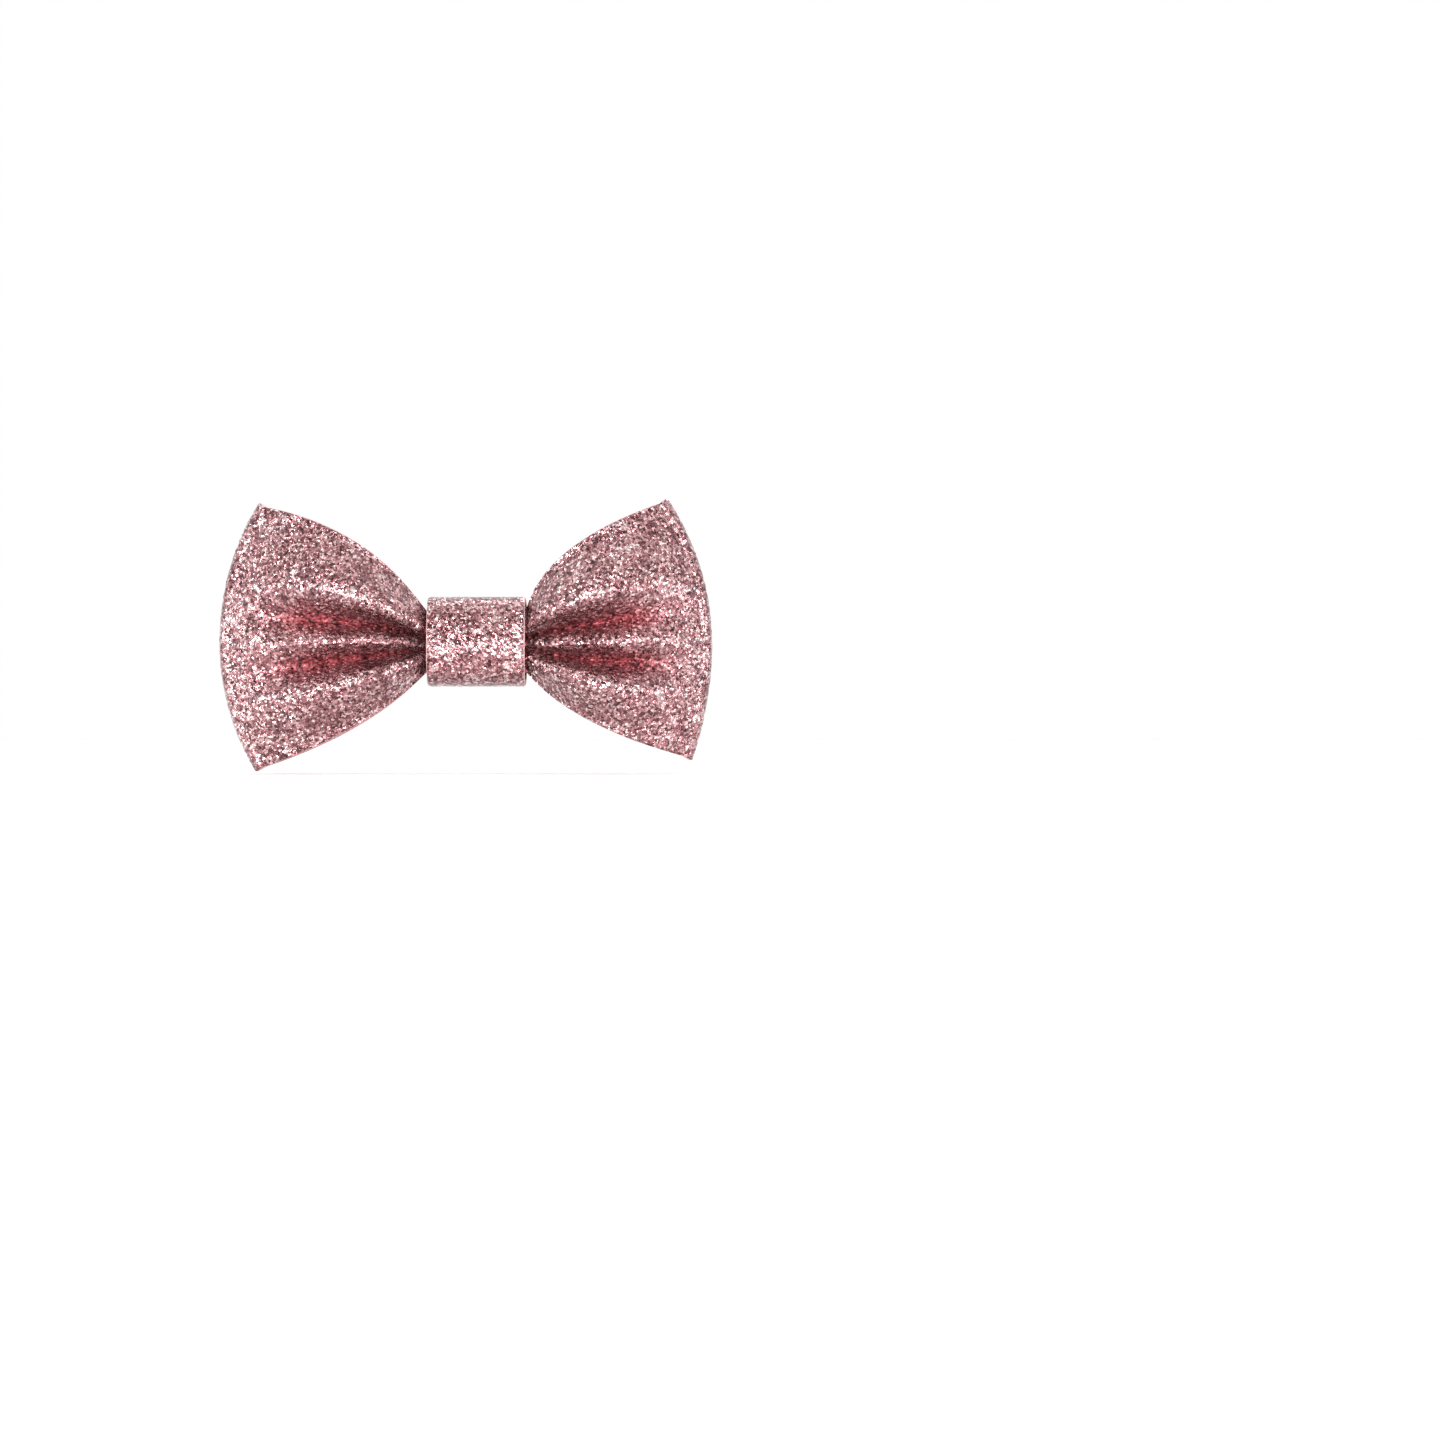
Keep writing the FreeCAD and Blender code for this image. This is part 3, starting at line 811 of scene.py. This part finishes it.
@dataclass(frozen=True)
class Wing:
    """One side of the bow: s runs from neck to fold and t from lower to upper edge."""

    side: int
    reach: float
    upper: Corner
    lower: Corner
    neck: Neck
    seed: int
    leaving: tuple[float, float] = (0.05, 0.06)
    front_pleat: float = 0.0100
    rear_pleat: float = 0.0070
    front_puff: float = 0.0095
    fold_radius: float = 0.0012
    fold_y: float = -0.00539
    swell: float = 0.00035
    opening: float = 0.85
    # Where the painted shade of the creases lies across the strip, how sharp it is and how far out it
    # reaches, and the painted shade next to the neck.
    crease_middle: float = -0.07
    crease_half: float = 0.30
    crease_sharpness: float = 2.5
    crease_end: float = 0.60
    crease_fade: float = 0.36
    neck_shade: float = 0.8
    neck_shade_length: float = 0.035
    fold_rows: int = 10

    def edge(self, s: np.ndarray, corner: Corner, end: int) -> np.ndarray:
        """A point (x, z) on the upper or lower edge.

        Args:
            s: how far out.
            corner: the edge's corner.
            end: 1 for the upper edge and -1 for the lower.

        Returns:
            The places, with x and z last.
        """
        out = corner.reach * math.cos(math.radians(corner.angle)) - self.neck.half_length
        up = corner.reach * math.sin(math.radians(corner.angle)) - self.neck.half_height
        pulls = ((0.0, 0.0), self.leaving, corner.shoulder, (1.0, 1.0))
        weights = ((1 - s) ** 3, 3 * s * (1 - s) ** 2, 3 * s * s * (1 - s), s ** 3)
        x = self.neck.half_length + out * sum(w * p[0] for w, p in zip(weights, pulls))
        z = self.neck.half_height + up * sum(w * p[1] for w, p in zip(weights, pulls))
        return np.stack([x, end * z], axis=-1)

    def place(self, s: np.ndarray, t: np.ndarray) -> np.ndarray:
        """(x, z) of points of the wing; at the fold they lie on an arc about the waist.

        Args:
            s: how far out, from 0 at the neck to 1 at the fold.
            t: places across the strip, from -1 to 1.

        Returns:
            The places, with x and z last.
        """
        share = ((1 + t) / 2)[..., None]
        flat = self.edge(s, self.lower, -1) * (1 - share) + self.edge(s, self.upper, 1) * share
        one = np.ones_like(s)
        chord = self.edge(one, self.lower, -1) * (1 - share) + self.edge(one, self.upper, 1) * share
        corner = np.where(t > 0, self.upper.reach, self.lower.reach)
        arc = self.reach + (corner - self.reach) * t * t
        grow = 1 + (arc / np.linalg.norm(chord, axis=-1) - 1) * s * s
        return flat * grow[..., None]

    def way(self, s: np.ndarray) -> np.ndarray:
        """How far out s lies between neck and fold, from 0 to 1, midway between the edges."""
        pull = (self.upper.shoulder[0] + self.lower.shoulder[0]) / 2
        return 3 * s * (1 - s) ** 2 * self.leaving[0] + 3 * s * s * (1 - s) * pull + s ** 3

    def lift(self, out: np.ndarray, t: np.ndarray) -> np.ndarray:
        """Height of the wing's surface this far out, as a share of its depth there."""
        opened = self.opening * out ** 3
        return self.neck.pleat(t) * (1 - opened) + (1 - 0.7 * t * t) * opened

    def waves(self, s: np.ndarray, t: np.ndarray) -> np.ndarray:
        """Small uneven swells that the gathering leaves in stiff canvas.

        Args:
            s: how far out, from 0 at the neck to 1 at the fold.
            t: places across the strip, from -1 to 1.

        Returns:
            Their height, about -1 to 1.
        """
        random = np.random.default_rng(self.seed)
        found = np.zeros_like(s)
        for _ in range(5):
            across, along, phase, slant = random.uniform((2.0, 0.6, 0.0, -1.5), (5.5, 2.2, 6.28, 1.5))
            found += np.sin(across * t + slant * s + phase) * np.sin(math.pi * along * s + phase)
        return found / 5 * np.sin(math.pi * np.clip(s, 0, 1))

    def front(self, s: np.ndarray, t: np.ndarray) -> np.ndarray:
        """y of the front panel.

        Args:
            s: how far out, from 0 at the neck to 1 at the fold.
            t: places across the strip, from -1 to 1.

        Returns:
            The y of each point.
        """
        out = self.way(s)
        base = bend(self.neck.valleys[2], -self.front_puff, self.fold_y - self.fold_radius, out)
        base = base - self.swell * self.waves(s, t)
        return base - bend(self.neck.depths[2], self.front_pleat, 0.0, out) * self.lift(out, t)

    def rear(self, s: np.ndarray, t: np.ndarray, ply: int) -> np.ndarray:
        """y of the rear panel, whose middle lies on the clip's arm near the waist.

        Args:
            s: how far out, from 0 at the neck to 1 at the fold.
            t: places across the strip, from -1 to 1.
            ply: 0 for the ply on the clip, 1 for the next and 2 for the front panel.

        Returns:
            The y of each point.
        """
        out = self.way(s)
        base = bend(self.neck.valleys[ply], self.neck.valleys[0], self.fold_y + self.fold_radius, out)
        return base - bend(self.neck.depths[ply], self.rear_pleat, 0.0, out) * self.lift(out, t)

    def panel(self, s: np.ndarray, t: np.ndarray, y: np.ndarray) -> np.ndarray:
        """Points of a panel, held back by the fold's radius so that the fold reaches the arc."""
        flat = self.place(s, t) * (1 - self.fold_radius * s / self.reach)[..., None]
        return np.stack([self.side * flat[..., 0], y, flat[..., 1]], axis=-1)

    def fold(self, turn: np.ndarray, t: np.ndarray) -> np.ndarray:
        """Points of the end fold; turn goes from 0 at the rear panel to pi at the front panel.

        Args:
            turn: 0 at the rear panel, pi at the front panel.
            t: places across the strip, from -1 to 1.

        Returns:
            The points.
        """
        flat = self.place(np.ones_like(t), t)
        flat = flat * (1 - self.fold_radius * (1 - np.sin(turn)) / self.reach)[..., None]
        y = self.fold_y + self.fold_radius * np.cos(turn)
        return np.stack([self.side * flat[..., 0], y, flat[..., 1]], axis=-1)

    def even_steps(self, step: float) -> np.ndarray:
        """Values of s from neck to fold, about this far apart on the upper half of the wing.

        Args:
            step: the distance between them.

        Returns:
            The values of s.
        """
        s = np.linspace(0.0, 1.0, 400)
        line = self.place(s, np.full_like(s, 0.4))
        marks = np.concatenate([[0.0], np.cumsum(np.linalg.norm(np.diff(line, axis=0), axis=1))])
        return np.interp(np.linspace(0.0, marks[-1], int(marks[-1] / step) + 1), marks, s)

    def rows(self, t: np.ndarray, ply: int, step: float) -> tuple[np.ndarray, np.ndarray]:
        """Points from the neck out along the rear panel, round the fold and back along the front.

        Args:
            t: places across the strip.
            ply: which ply of the neck the rear panel comes from.
            step: the distance between rows.

        Returns:
            The points, and how much painted shade each gets in the creases.
        """
        s, across = np.meshgrid(self.even_steps(step), t, indexing="ij")
        turn, around = np.meshgrid(np.linspace(0.0, math.pi, self.fold_rows)[1:-1], t, indexing="ij")
        rear = self.panel(s, across, self.rear(s, across, ply))
        front = self.panel(s, across, self.front(s, across))[::-1]
        # Painted shade: deepest in the pleats' valleys, fading out along the wing, with more next to the
        # neck; the rear panel gets less of it and the fold none.
        aside = (np.abs(across - self.crease_middle) - self.crease_half) / self.crease_half
        valley = (1 - self.neck.pleat(across)) * (1 - ease(aside))
        reach = 1 - ease((self.way(s) - self.crease_end) / self.crease_fade)
        dip = valley ** self.crease_sharpness * reach
        dip = np.clip(dip + self.neck_shade * np.exp(-s / self.neck_shade_length), 0.0, 1.0)
        points = np.concatenate([rear, self.fold(turn, around), front])
        return points, np.concatenate([dip * 0.8, np.zeros_like(turn), dip[::-1]])


# --- pieces ---------------------------------------------------------------------------------------
@dataclass
class BowStrip:
    """The long strip: left flap, left wing, neck, right wing and right flap."""

    canvas: GlitterCanvas
    neck: Neck = field(default_factory=Neck)
    flap_past: float = 0.005
    flat_width: float = 0.041
    flat_length: float = 0.162
    step: float = 0.00045
    columns: int = 95
    neck_rows: int = 14

    def wings(self) -> tuple[Wing, Wing]:
        """The left and right wings.

        Returns:
            The left wing and the right wing.
        """
        left = Wing(-1, 0.0377, Corner(0.0379, 32.7, (0.28, 0.77)), Corner(0.0376, 30.7, (0.27, 0.57)),
                    self.neck, 3)
        right = Wing(1, 0.0345, Corner(0.0350, 37.1, (0.02, 0.54)), Corner(0.0362, 29.1, (0.22, 0.58)),
                     self.neck, 11)
        return left, right

    def gathered(self, t: np.ndarray, start: float, end: float, ply: int) -> np.ndarray:
        """Rows across the neck.

        Args:
            t: places across the strip.
            start: x of the first row.
            end: x of the last row.
            ply: 0 for the ply on the clip, 1 for the next and 2 for the front panel.

        Returns:
            The points.
        """
        x, across = np.meshgrid(np.linspace(start, end, self.neck_rows), t, indexing="ij")
        y = self.neck.valleys[ply] - self.neck.depths[ply] * self.neck.pleat(across)
        return np.stack([x, y, across * self.neck.half_height], axis=-1)

    def middle(self) -> tuple[np.ndarray, np.ndarray]:
        """The middle of the canvas from one end of the strip to the other, and the painted shade of its
        creases.

        Returns:
            The points, and how much painted shade each gets in the creases.
        """
        t = np.linspace(-1.0, 1.0, self.columns)
        left, right = self.wings()
        half = self.neck.half_length
        left_rows, left_dip = left.rows(t, 1, self.step)
        right_rows, right_dip = right.rows(t, 0, self.step)
        blocks = [self.gathered(t, self.flap_past, -half, 1)[:-1], left_rows,
                  self.gathered(t, -half, half, 2)[1:-1], right_rows[::-1],
                  self.gathered(t, half, -self.flap_past, 0)[1:]]
        # The gathered rows at the neck get deep painted shade all over.
        full = np.ones((self.neck_rows - 1, self.columns)) * 0.9
        dips = [full, left_dip, full[:-1], right_dip[::-1], full]
        return np.concatenate(blocks), np.concatenate(dips)

    def build(self, finishes: Sequence[bpy.types.Material]) -> bpy.types.Object:
        """Makes the strip in place of its plain solid.

        Args:
            finishes: glitter, backing and cut edge.

        Returns:
            The strip.
        """
        points, dips = self.middle()
        canvas = self.canvas.layers(points, self.flat_width, dips)
        made = add_object("bow_canvas", canvas.mesh("bow_canvas"), finishes)
        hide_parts("bow_strip")
        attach(made, "bow")
        return made


@dataclass
class CentreBand:
    """The narrow strip round the waist and the clip's front arm, its ends overlapping at the back."""

    canvas: GlitterCanvas
    overlap: float = 0.006
    glue: float = 0.0002
    arm_half: float = 0.0043
    squareness: float = 0.6
    step: float = 0.00036
    belly: float = 0.00100
    belly_z: float = -0.0011
    belly_width: float = 0.0034
    dent: float = 0.00012
    dent_z: float = -0.0032
    dent_width: float = 0.0008
    ripple: float = 0.00018

    def line(self) -> np.ndarray:
        """The middle of the band seen along X, from its hidden end round to its outer end.

        Returns:
            The points, as (y, z).
        """
        low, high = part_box("centre_band")
        thick = self.canvas.thickness
        front, over, half = low[1] + thick / 2, high[1] - thick / 2, (high[2] - low[2]) / 2 - thick / 2
        under = over - thick - self.glue
        turn = np.linspace(0.0, math.pi, 90)
        first = np.array([[under, self.overlap / 2]])
        last = np.array([[over, -self.overlap / 2]])
        down = around(-turn, (under, front), half, self.arm_half, self.squareness)
        up = around(turn[::-1], (over, front), half, self.arm_half, self.squareness)[1:]
        return np.concatenate([first, down, up, last])

    def build(self, finishes: Sequence[bpy.types.Material]) -> bpy.types.Object:
        """Makes the band in place of its plain solid.

        Args:
            finishes: glitter, backing and cut edge.

        Returns:
            The band.
        """
        low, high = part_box("centre_band")
        line = self.line()
        length = float(np.linalg.norm(np.diff(line, axis=0), axis=1).sum())
        line = evenly(line, int(length / self.step))
        width = high[0] - low[0]
        across = np.linspace(low[0], high[0], int(width / self.step))
        x, y = np.meshgrid(across, line[:, 0])
        z = np.meshgrid(across, line[:, 1])[1]
        in_front = ease((-0.004 - y) / 0.003)
        y = y - self.belly * (np.exp(-(((z - self.belly_z) / self.belly_width) ** 2)) - 0.5) * in_front
        y = y + self.dent * np.exp(-(((z - self.dent_z) / self.dent_width) ** 2)) * in_front
        y = y - self.ripple * np.sin(x * 620 + 1.0) * np.cos(z * 540) * in_front
        points = np.stack([x, y, z], axis=-1)[:, ::-1]
        # Painted shade along the dent below the band's belly.
        crease_shade = 0.15 * np.exp(-(((z - self.dent_z) / 0.0009) ** 2)) * in_front
        canvas = self.canvas.layers(points, width, crease_shade)
        made = add_object("band_canvas", canvas.mesh("band_canvas"), finishes)
        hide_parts("centre_band")
        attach(made, "bow")
        return made


def wire_mesh(name: str, line: np.ndarray, radius: float, sides: int = 12) -> bpy.types.Mesh:
    """A round wire with domed ends along a line.

    Args:
        name: the mesh's name.
        line: the points along the wire.
        radius: the wire's radius.
        sides: faces round it.

    Returns:
        The mesh, with its length along and turn around stored as "cloth".
    """
    along = np.gradient(line, axis=0)
    along /= np.linalg.norm(along, axis=1, keepdims=True)
    side = np.cross(along[0], (0.3, 0.5, 0.81))
    sides_at, over_at = [], []
    for way in along:
        side = side - way * float(np.dot(side, way))
        side = side / np.linalg.norm(side)
        sides_at.append(side)
        over_at.append(np.cross(way, side))
    angle = np.linspace(0, 2 * math.pi, sides, endpoint=False)
    dome = [(-0.8, 0.45), (-0.5, 0.8), (0.0, 1.0)]
    rings, cloth = [], []
    marks = np.concatenate([[0.0], np.cumsum(np.linalg.norm(np.diff(line, axis=0), axis=1))])
    stations = [(0, push, size) for push, size in dome] + [(i, 0.0, 1.0) for i in range(1, len(line) - 1)]
    stations += [(len(line) - 1, -push, size) for push, size in reversed(dome)]
    for i, push, size in stations:
        round_it = np.cos(angle)[:, None] * sides_at[i] + np.sin(angle)[:, None] * over_at[i]
        rings.append(line[i] + along[i] * push * radius + round_it * radius * size)
        cloth.append(np.stack([np.full(sides, marks[i]), angle, np.zeros(sides)], axis=1))
    count = len(rings)
    faces = []
    for i in range(count - 1):
        for j in range(sides):
            k = (j + 1) % sides
            faces.append((i * sides + j, i * sides + k, (i + 1) * sides + k, (i + 1) * sides + j))
    faces.append(tuple(range(sides))[::-1])
    faces.append(tuple((count - 1) * sides + j for j in range(sides)))
    mesh = bpy.data.meshes.new(name)
    mesh.from_pydata(np.concatenate(rings).tolist(), [], faces)
    places = np.concatenate(cloth)
    mesh.attributes.new("cloth", "FLOAT_VECTOR", "POINT").data.foreach_set("vector", places.ravel())
    mesh.polygons.foreach_set("use_smooth", np.ones(len(faces), dtype=bool))
    mesh.update()
    return mesh


@dataclass
class WaistThread:
    """The thread wound round the gathers, under the band."""

    radius: float = 0.00015
    turns: int = 8
    pitch: float = 0.00035
    steps: int = 64
    flat: float = 0.00447
    squareness: float = 0.57

    def build(self, finish: bpy.types.Material) -> bpy.types.Object:
        """Makes the winding in place of its plain solid.

        Args:
            finish: the thread's material.

        Returns:
            The thread.
        """
        low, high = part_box("waist_thread")
        ends = (high[1] - self.radius, low[1] + self.radius)
        half = (high[2] - low[2]) / 2 - self.radius
        loop = around(np.linspace(0.0, 2 * math.pi, 361), ends, half, self.flat, self.squareness)
        loop = evenly(loop, self.steps + 1)[:-1]
        y, z = np.tile(loop, (self.turns, 1)).T
        x = self.pitch * (np.arange(self.turns * self.steps) / self.steps - self.turns / 2)
        line = np.stack([x, y, z], axis=1)
        made = add_object("wound_thread", wire_mesh("wound_thread", line, self.radius, 8), [finish])
        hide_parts("waist_thread")
        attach(made, "bow")
        return made


@dataclass
class ClipRibbon:
    """Grosgrain ribbon glued along the clip's front arm and folded round its tip."""

    thickness: float = 0.0004
    steel: float = 0.0006
    grip_end: float = 0.0074
    rib: float = 0.00062
    rib_height: float = 0.00007
    columns: int = 24

    def middle(self) -> np.ndarray:
        """The ribbon's middle, from the tail along the front, round the tip and back along the grip.

        Returns:
            The points.
        """
        low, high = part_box("clip_lining")
        front, back = low[1] + self.thickness / 2, high[1] - self.thickness / 2
        tip = low[0] + (self.steel + self.thickness) / 2 + self.thickness / 2
        turn = np.linspace(math.pi / 2, -math.pi / 2, 14)
        radius = (back - front) / 2
        bend_x = tip - radius * np.cos(turn)
        bend_y = (front + back) / 2 - radius * np.sin(turn)
        bend = np.stack([bend_x, bend_y], axis=1)
        line = np.concatenate([[[high[0], front]], bend, [[self.grip_end, back]]])
        length = float(np.linalg.norm(np.diff(line, axis=0), axis=1).sum())
        line = evenly(line, int(length / (self.rib / 6)))
        z = np.linspace(low[2], high[2], self.columns)
        points = np.zeros((len(line), self.columns, 3))
        points[..., 0] = line[:, :1]
        points[..., 1] = line[:, 1:]
        points[..., 2] = z[None, :]
        return points

    def build(self, finish: bpy.types.Material) -> bpy.types.Object:
        """Makes the ribbon in place of its plain solid.

        Args:
            finish: the ribbon's material.

        Returns:
            The ribbon.
        """
        middle = self.middle()
        width = float(middle[0, -1, 2] - middle[0, 0, 2])
        cloth = cloth_places(middle, width)
        rib = np.sin(cloth[..., 0] * 2 * math.pi / self.rib) * 0.5 + 0.5
        edge = np.minimum(cloth[..., 1], width - cloth[..., 1])
        rib = rib * ease(edge / 0.0005)
        facing = grid_normals(middle)
        lift = (rib[..., None] - 1.0) * self.rib_height
        face = middle + facing * (self.thickness / 2 + lift)
        back = middle - facing * (self.thickness / 2 + lift)
        layers = Layers([face, back], cloth, np.zeros(rib.shape), 0, 0, (0,), {"rib": rib})
        made = add_object("clip_ribbon", layers.mesh("clip_ribbon"), [finish])
        made.data.polygons.foreach_set("use_smooth", np.ones(len(made.data.polygons), dtype=bool))
        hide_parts("clip_lining")
        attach(made, "bow")
        return made


@dataclass
class TorsionSpring:
    """The clip's spring: one leg pressed by each tail, and the coil between them twists as it opens."""

    wire: float = 0.00055
    leg: float = 0.0070
    coil_radius: float = 0.00123
    full_turns: int = 4
    coil_pitch: float = 0.0007
    tail_angle: float = 24.0
    steel: float = 0.0006
    gap: float = 0.00006

    def line(self, pivot: Vector) -> np.ndarray:
        """The wire's middle, from the front tail's leg to the rear tail's.

        Args:
            pivot: the hinge's place.

        Returns:
            The points.
        """
        low = -self.low_turn(pivot)
        high = math.radians(self.tail_angle)
        sweep = 2 * math.pi * self.full_turns + math.pi + low - high
        turn = np.linspace(0.0, sweep, 160)
        angle = -math.pi / 2 + low - turn
        rise = self.coil_pitch * (turn - sweep / 2) / (2 * math.pi)
        coil = np.stack([self.coil_radius * np.cos(angle), self.coil_radius * np.sin(angle), rise], axis=1)
        way = np.linspace(1.0, 0.02, 24)[:, None] * self.leg
        first = coil[0] + way * np.array([math.cos(low), math.sin(low), 0.0])
        last = coil[-1] + way[::-1] * np.array([math.cos(high), math.sin(high), 0.0])
        return np.concatenate([first, coil, last]) + np.array(pivot)

    def low_turn(self, pivot: Vector) -> float:
        """Radians that the front leg dips by to reach the front arm's inner face.

        Args:
            pivot: the hinge's place.

        Returns:
            The angle, in radians.
        """
        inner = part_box("front_arm")[0][1] + self.steel
        drop = pivot[1] - inner - self.wire / 2 - self.gap
        slant = math.atan2(self.coil_radius, self.leg)
        return math.asin(drop / math.hypot(self.coil_radius, self.leg)) - slant

    def build(self, joint: Mapping[str, object], finish: bpy.types.Material) -> bpy.types.Object:
        """Makes the spring in place of its plain solid.

        Args:
            joint: the hinge from the record.
            finish: the wire's material.

        Returns:
            The spring.
        """
        pivot = Vector(joint["pos_m"])
        line = self.line(pivot)
        made = add_object("spring_wire", wire_mesh("spring_wire", line, self.wire / 2, 16), [finish])
        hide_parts("torsion_spring")
        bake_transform(made)
        return made


@dataclass(frozen=True)
class Lamp:
    """An oblong lamp that shines at the bow: its place, its width and height, and its power in watts."""

    name: str
    place: tuple[float, float, float]
    size: tuple[float, float]
    power: float

    def build(self) -> None:
        """Adds the lamp to the scene."""
        light = bpy.data.lights.new(self.name, "AREA")
        light.shape, light.energy = "RECTANGLE", self.power
        light.size, light.size_y = self.size
        made = bpy.data.objects.new(self.name, light)
        made.location = self.place
        made.rotation_mode = "QUATERNION"
        made.rotation_quaternion = (-Vector(self.place)).to_track_quat("-Z", "Y")
        bpy.context.scene.collection.objects.link(made)


@dataclass
class Studio:
    """A white floor, soft light from all sides, and low wide lamps that set off the glitter."""

    frame_width: float = 0.2159
    camera_back: float = 0.80
    centre: tuple[float, float] = (0.0365, -0.0120)
    floor_radius: float = 1.6
    sky: float = 1.0
    sky_in_front: float = 0.24
    dim_until: float = -0.90
    bright_from: float = -0.30
    overhead: float = 0.55
    overhead_softness: float = 0.9
    lamps: tuple[Lamp, ...] = (
        Lamp("key", (-0.02, -0.90, 0.055), (1.10, 0.08), 12.0),
        Lamp("key_left", (-0.86, -0.52, 0.055), (0.85, 0.08), 3.2),
        Lamp("key_right", (0.86, -0.52, 0.055), (0.85, 0.08), 3.2),
        Lamp("back", (0.30, 0.80, 0.60), (0.30, 0.30), 2.5))

    def floor(self, finish: bpy.types.Material) -> bpy.types.Object:
        """The floor, just under the bow.

        Args:
            finish: the floor's material.

        Returns:
            The floor.
        """
        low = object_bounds()[0]
        angle = np.linspace(0, 2 * math.pi, 96, endpoint=False)
        rim = np.stack([np.cos(angle), np.sin(angle), np.zeros(96)], axis=1) * self.floor_radius
        rim[:, 2] = low[2] - 0.0003
        mesh = bpy.data.meshes.new("floor")
        mesh.from_pydata(rim.tolist(), [], [tuple(range(96))])
        made = add_object("floor", mesh, [finish])
        made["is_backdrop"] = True
        return made

    def light(self) -> None:
        """Sets a white sky that is dimmer in front of the bow, and the lamps."""
        g = Graph(bpy.data.worlds.new("studio"))
        way = g.node("ShaderNodeTexCoord")["Generated"]
        toward_back = g.node("ShaderNodeSeparateXYZ", None, {"Vector": way})["Y"]
        share = ((toward_back - self.dim_until) * (1 / (self.bright_from - self.dim_until))).clamped()
        strength = share * (self.sky - self.sky_in_front) + self.sky_in_front
        sky = g.node("ShaderNodeBackground", None, {"Color": (1.0, 1.0, 1.0, 1.0), "Strength": strength})
        g.node("ShaderNodeOutputWorld", None, {"Surface": sky["Background"]})
        bpy.context.scene.world = g.owner
        for lamp in self.lamps:
            lamp.build()
        sun = bpy.data.lights.new("overhead", "SUN")
        sun.energy, sun.angle = self.overhead, self.overhead_softness
        bpy.context.scene.collection.objects.link(bpy.data.objects.new("overhead", sun))
        bpy.context.scene.view_settings.view_transform = "Standard"

    def camera(self) -> None:
        """Sets the camera level and straight in front of the bow."""
        lens = bpy.data.cameras.new("camera")
        lens.sensor_width = 36.0
        lens.lens = lens.sensor_width * self.camera_back / self.frame_width
        lens.clip_start, lens.clip_end = 0.05, 20.0
        made = bpy.data.objects.new("camera", lens)
        made.location = (self.centre[0], -self.camera_back, self.centre[1])
        made.rotation_euler = (math.pi / 2, 0.0, 0.0)
        bpy.context.scene.collection.objects.link(made)
        bpy.context.scene.camera = made


@dataclass
class HairBow:
    """The whole bow: canvas, band, thread, glue and clip."""

    nodes: Mapping[str, bpy.types.Object]
    joints: Sequence[Mapping[str, object]]

    def dress(self, node: str, finish: bpy.types.Material) -> None:
        """Gives a kept CAD piece its finish.

        Args:
            node: the piece's name.
            finish: its material.
        """
        mesh = self.nodes[node].data
        mesh.materials.clear()
        mesh.materials.append(finish)
        LOG.info("%s dressed in %s", node, finish.name)

    def build(self) -> None:
        """Makes every piece and reports it."""
        glitter, backing, cut = (f.material() for f in (RoseGlitter(), CanvasBacking(), CutCanvas()))
        canvas = GlitterCanvas()
        pieces = [
            BowStrip(canvas).build([glitter, backing, cut]),
            CentreBand(GlitterCanvas(seed=19)).build([glitter, backing, cut]),
            WaistThread().build(SewingThread().material()),
            ClipRibbon().build(Grosgrain().material()),
            TorsionSpring().build(self.joints[0], PlatedSteel(Polish.DRAWN).material()),
        ]
        for piece in pieces:
            LOG.info("%s: %d faces", piece.name, len(piece.data.polygons))
        stamped = PlatedSteel(Polish.STAMPED).material()
        self.dress("front_arm", stamped)
        self.dress("rear_jaw", stamped)
        self.dress("hinge_rivet", PlatedSteel(Polish.TURNED).material())
        glue = HotMelt().material()
        for node in ("flap_glue", "arm_glue", "band_glue"):
            self.dress(node, glue)


def main() -> None:
    """Builds the bow around its CAD frame and sets up the studio."""
    logging.basicConfig(level=logging.INFO, format="%(name)s: %(message)s")
    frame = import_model()
    HairBow(frame["nodes"], frame["joints"]).build()
    studio = Studio()
    studio.floor(PaleFloor().material())
    studio.light()
    studio.camera()


if __name__ == "__main__":
    main()
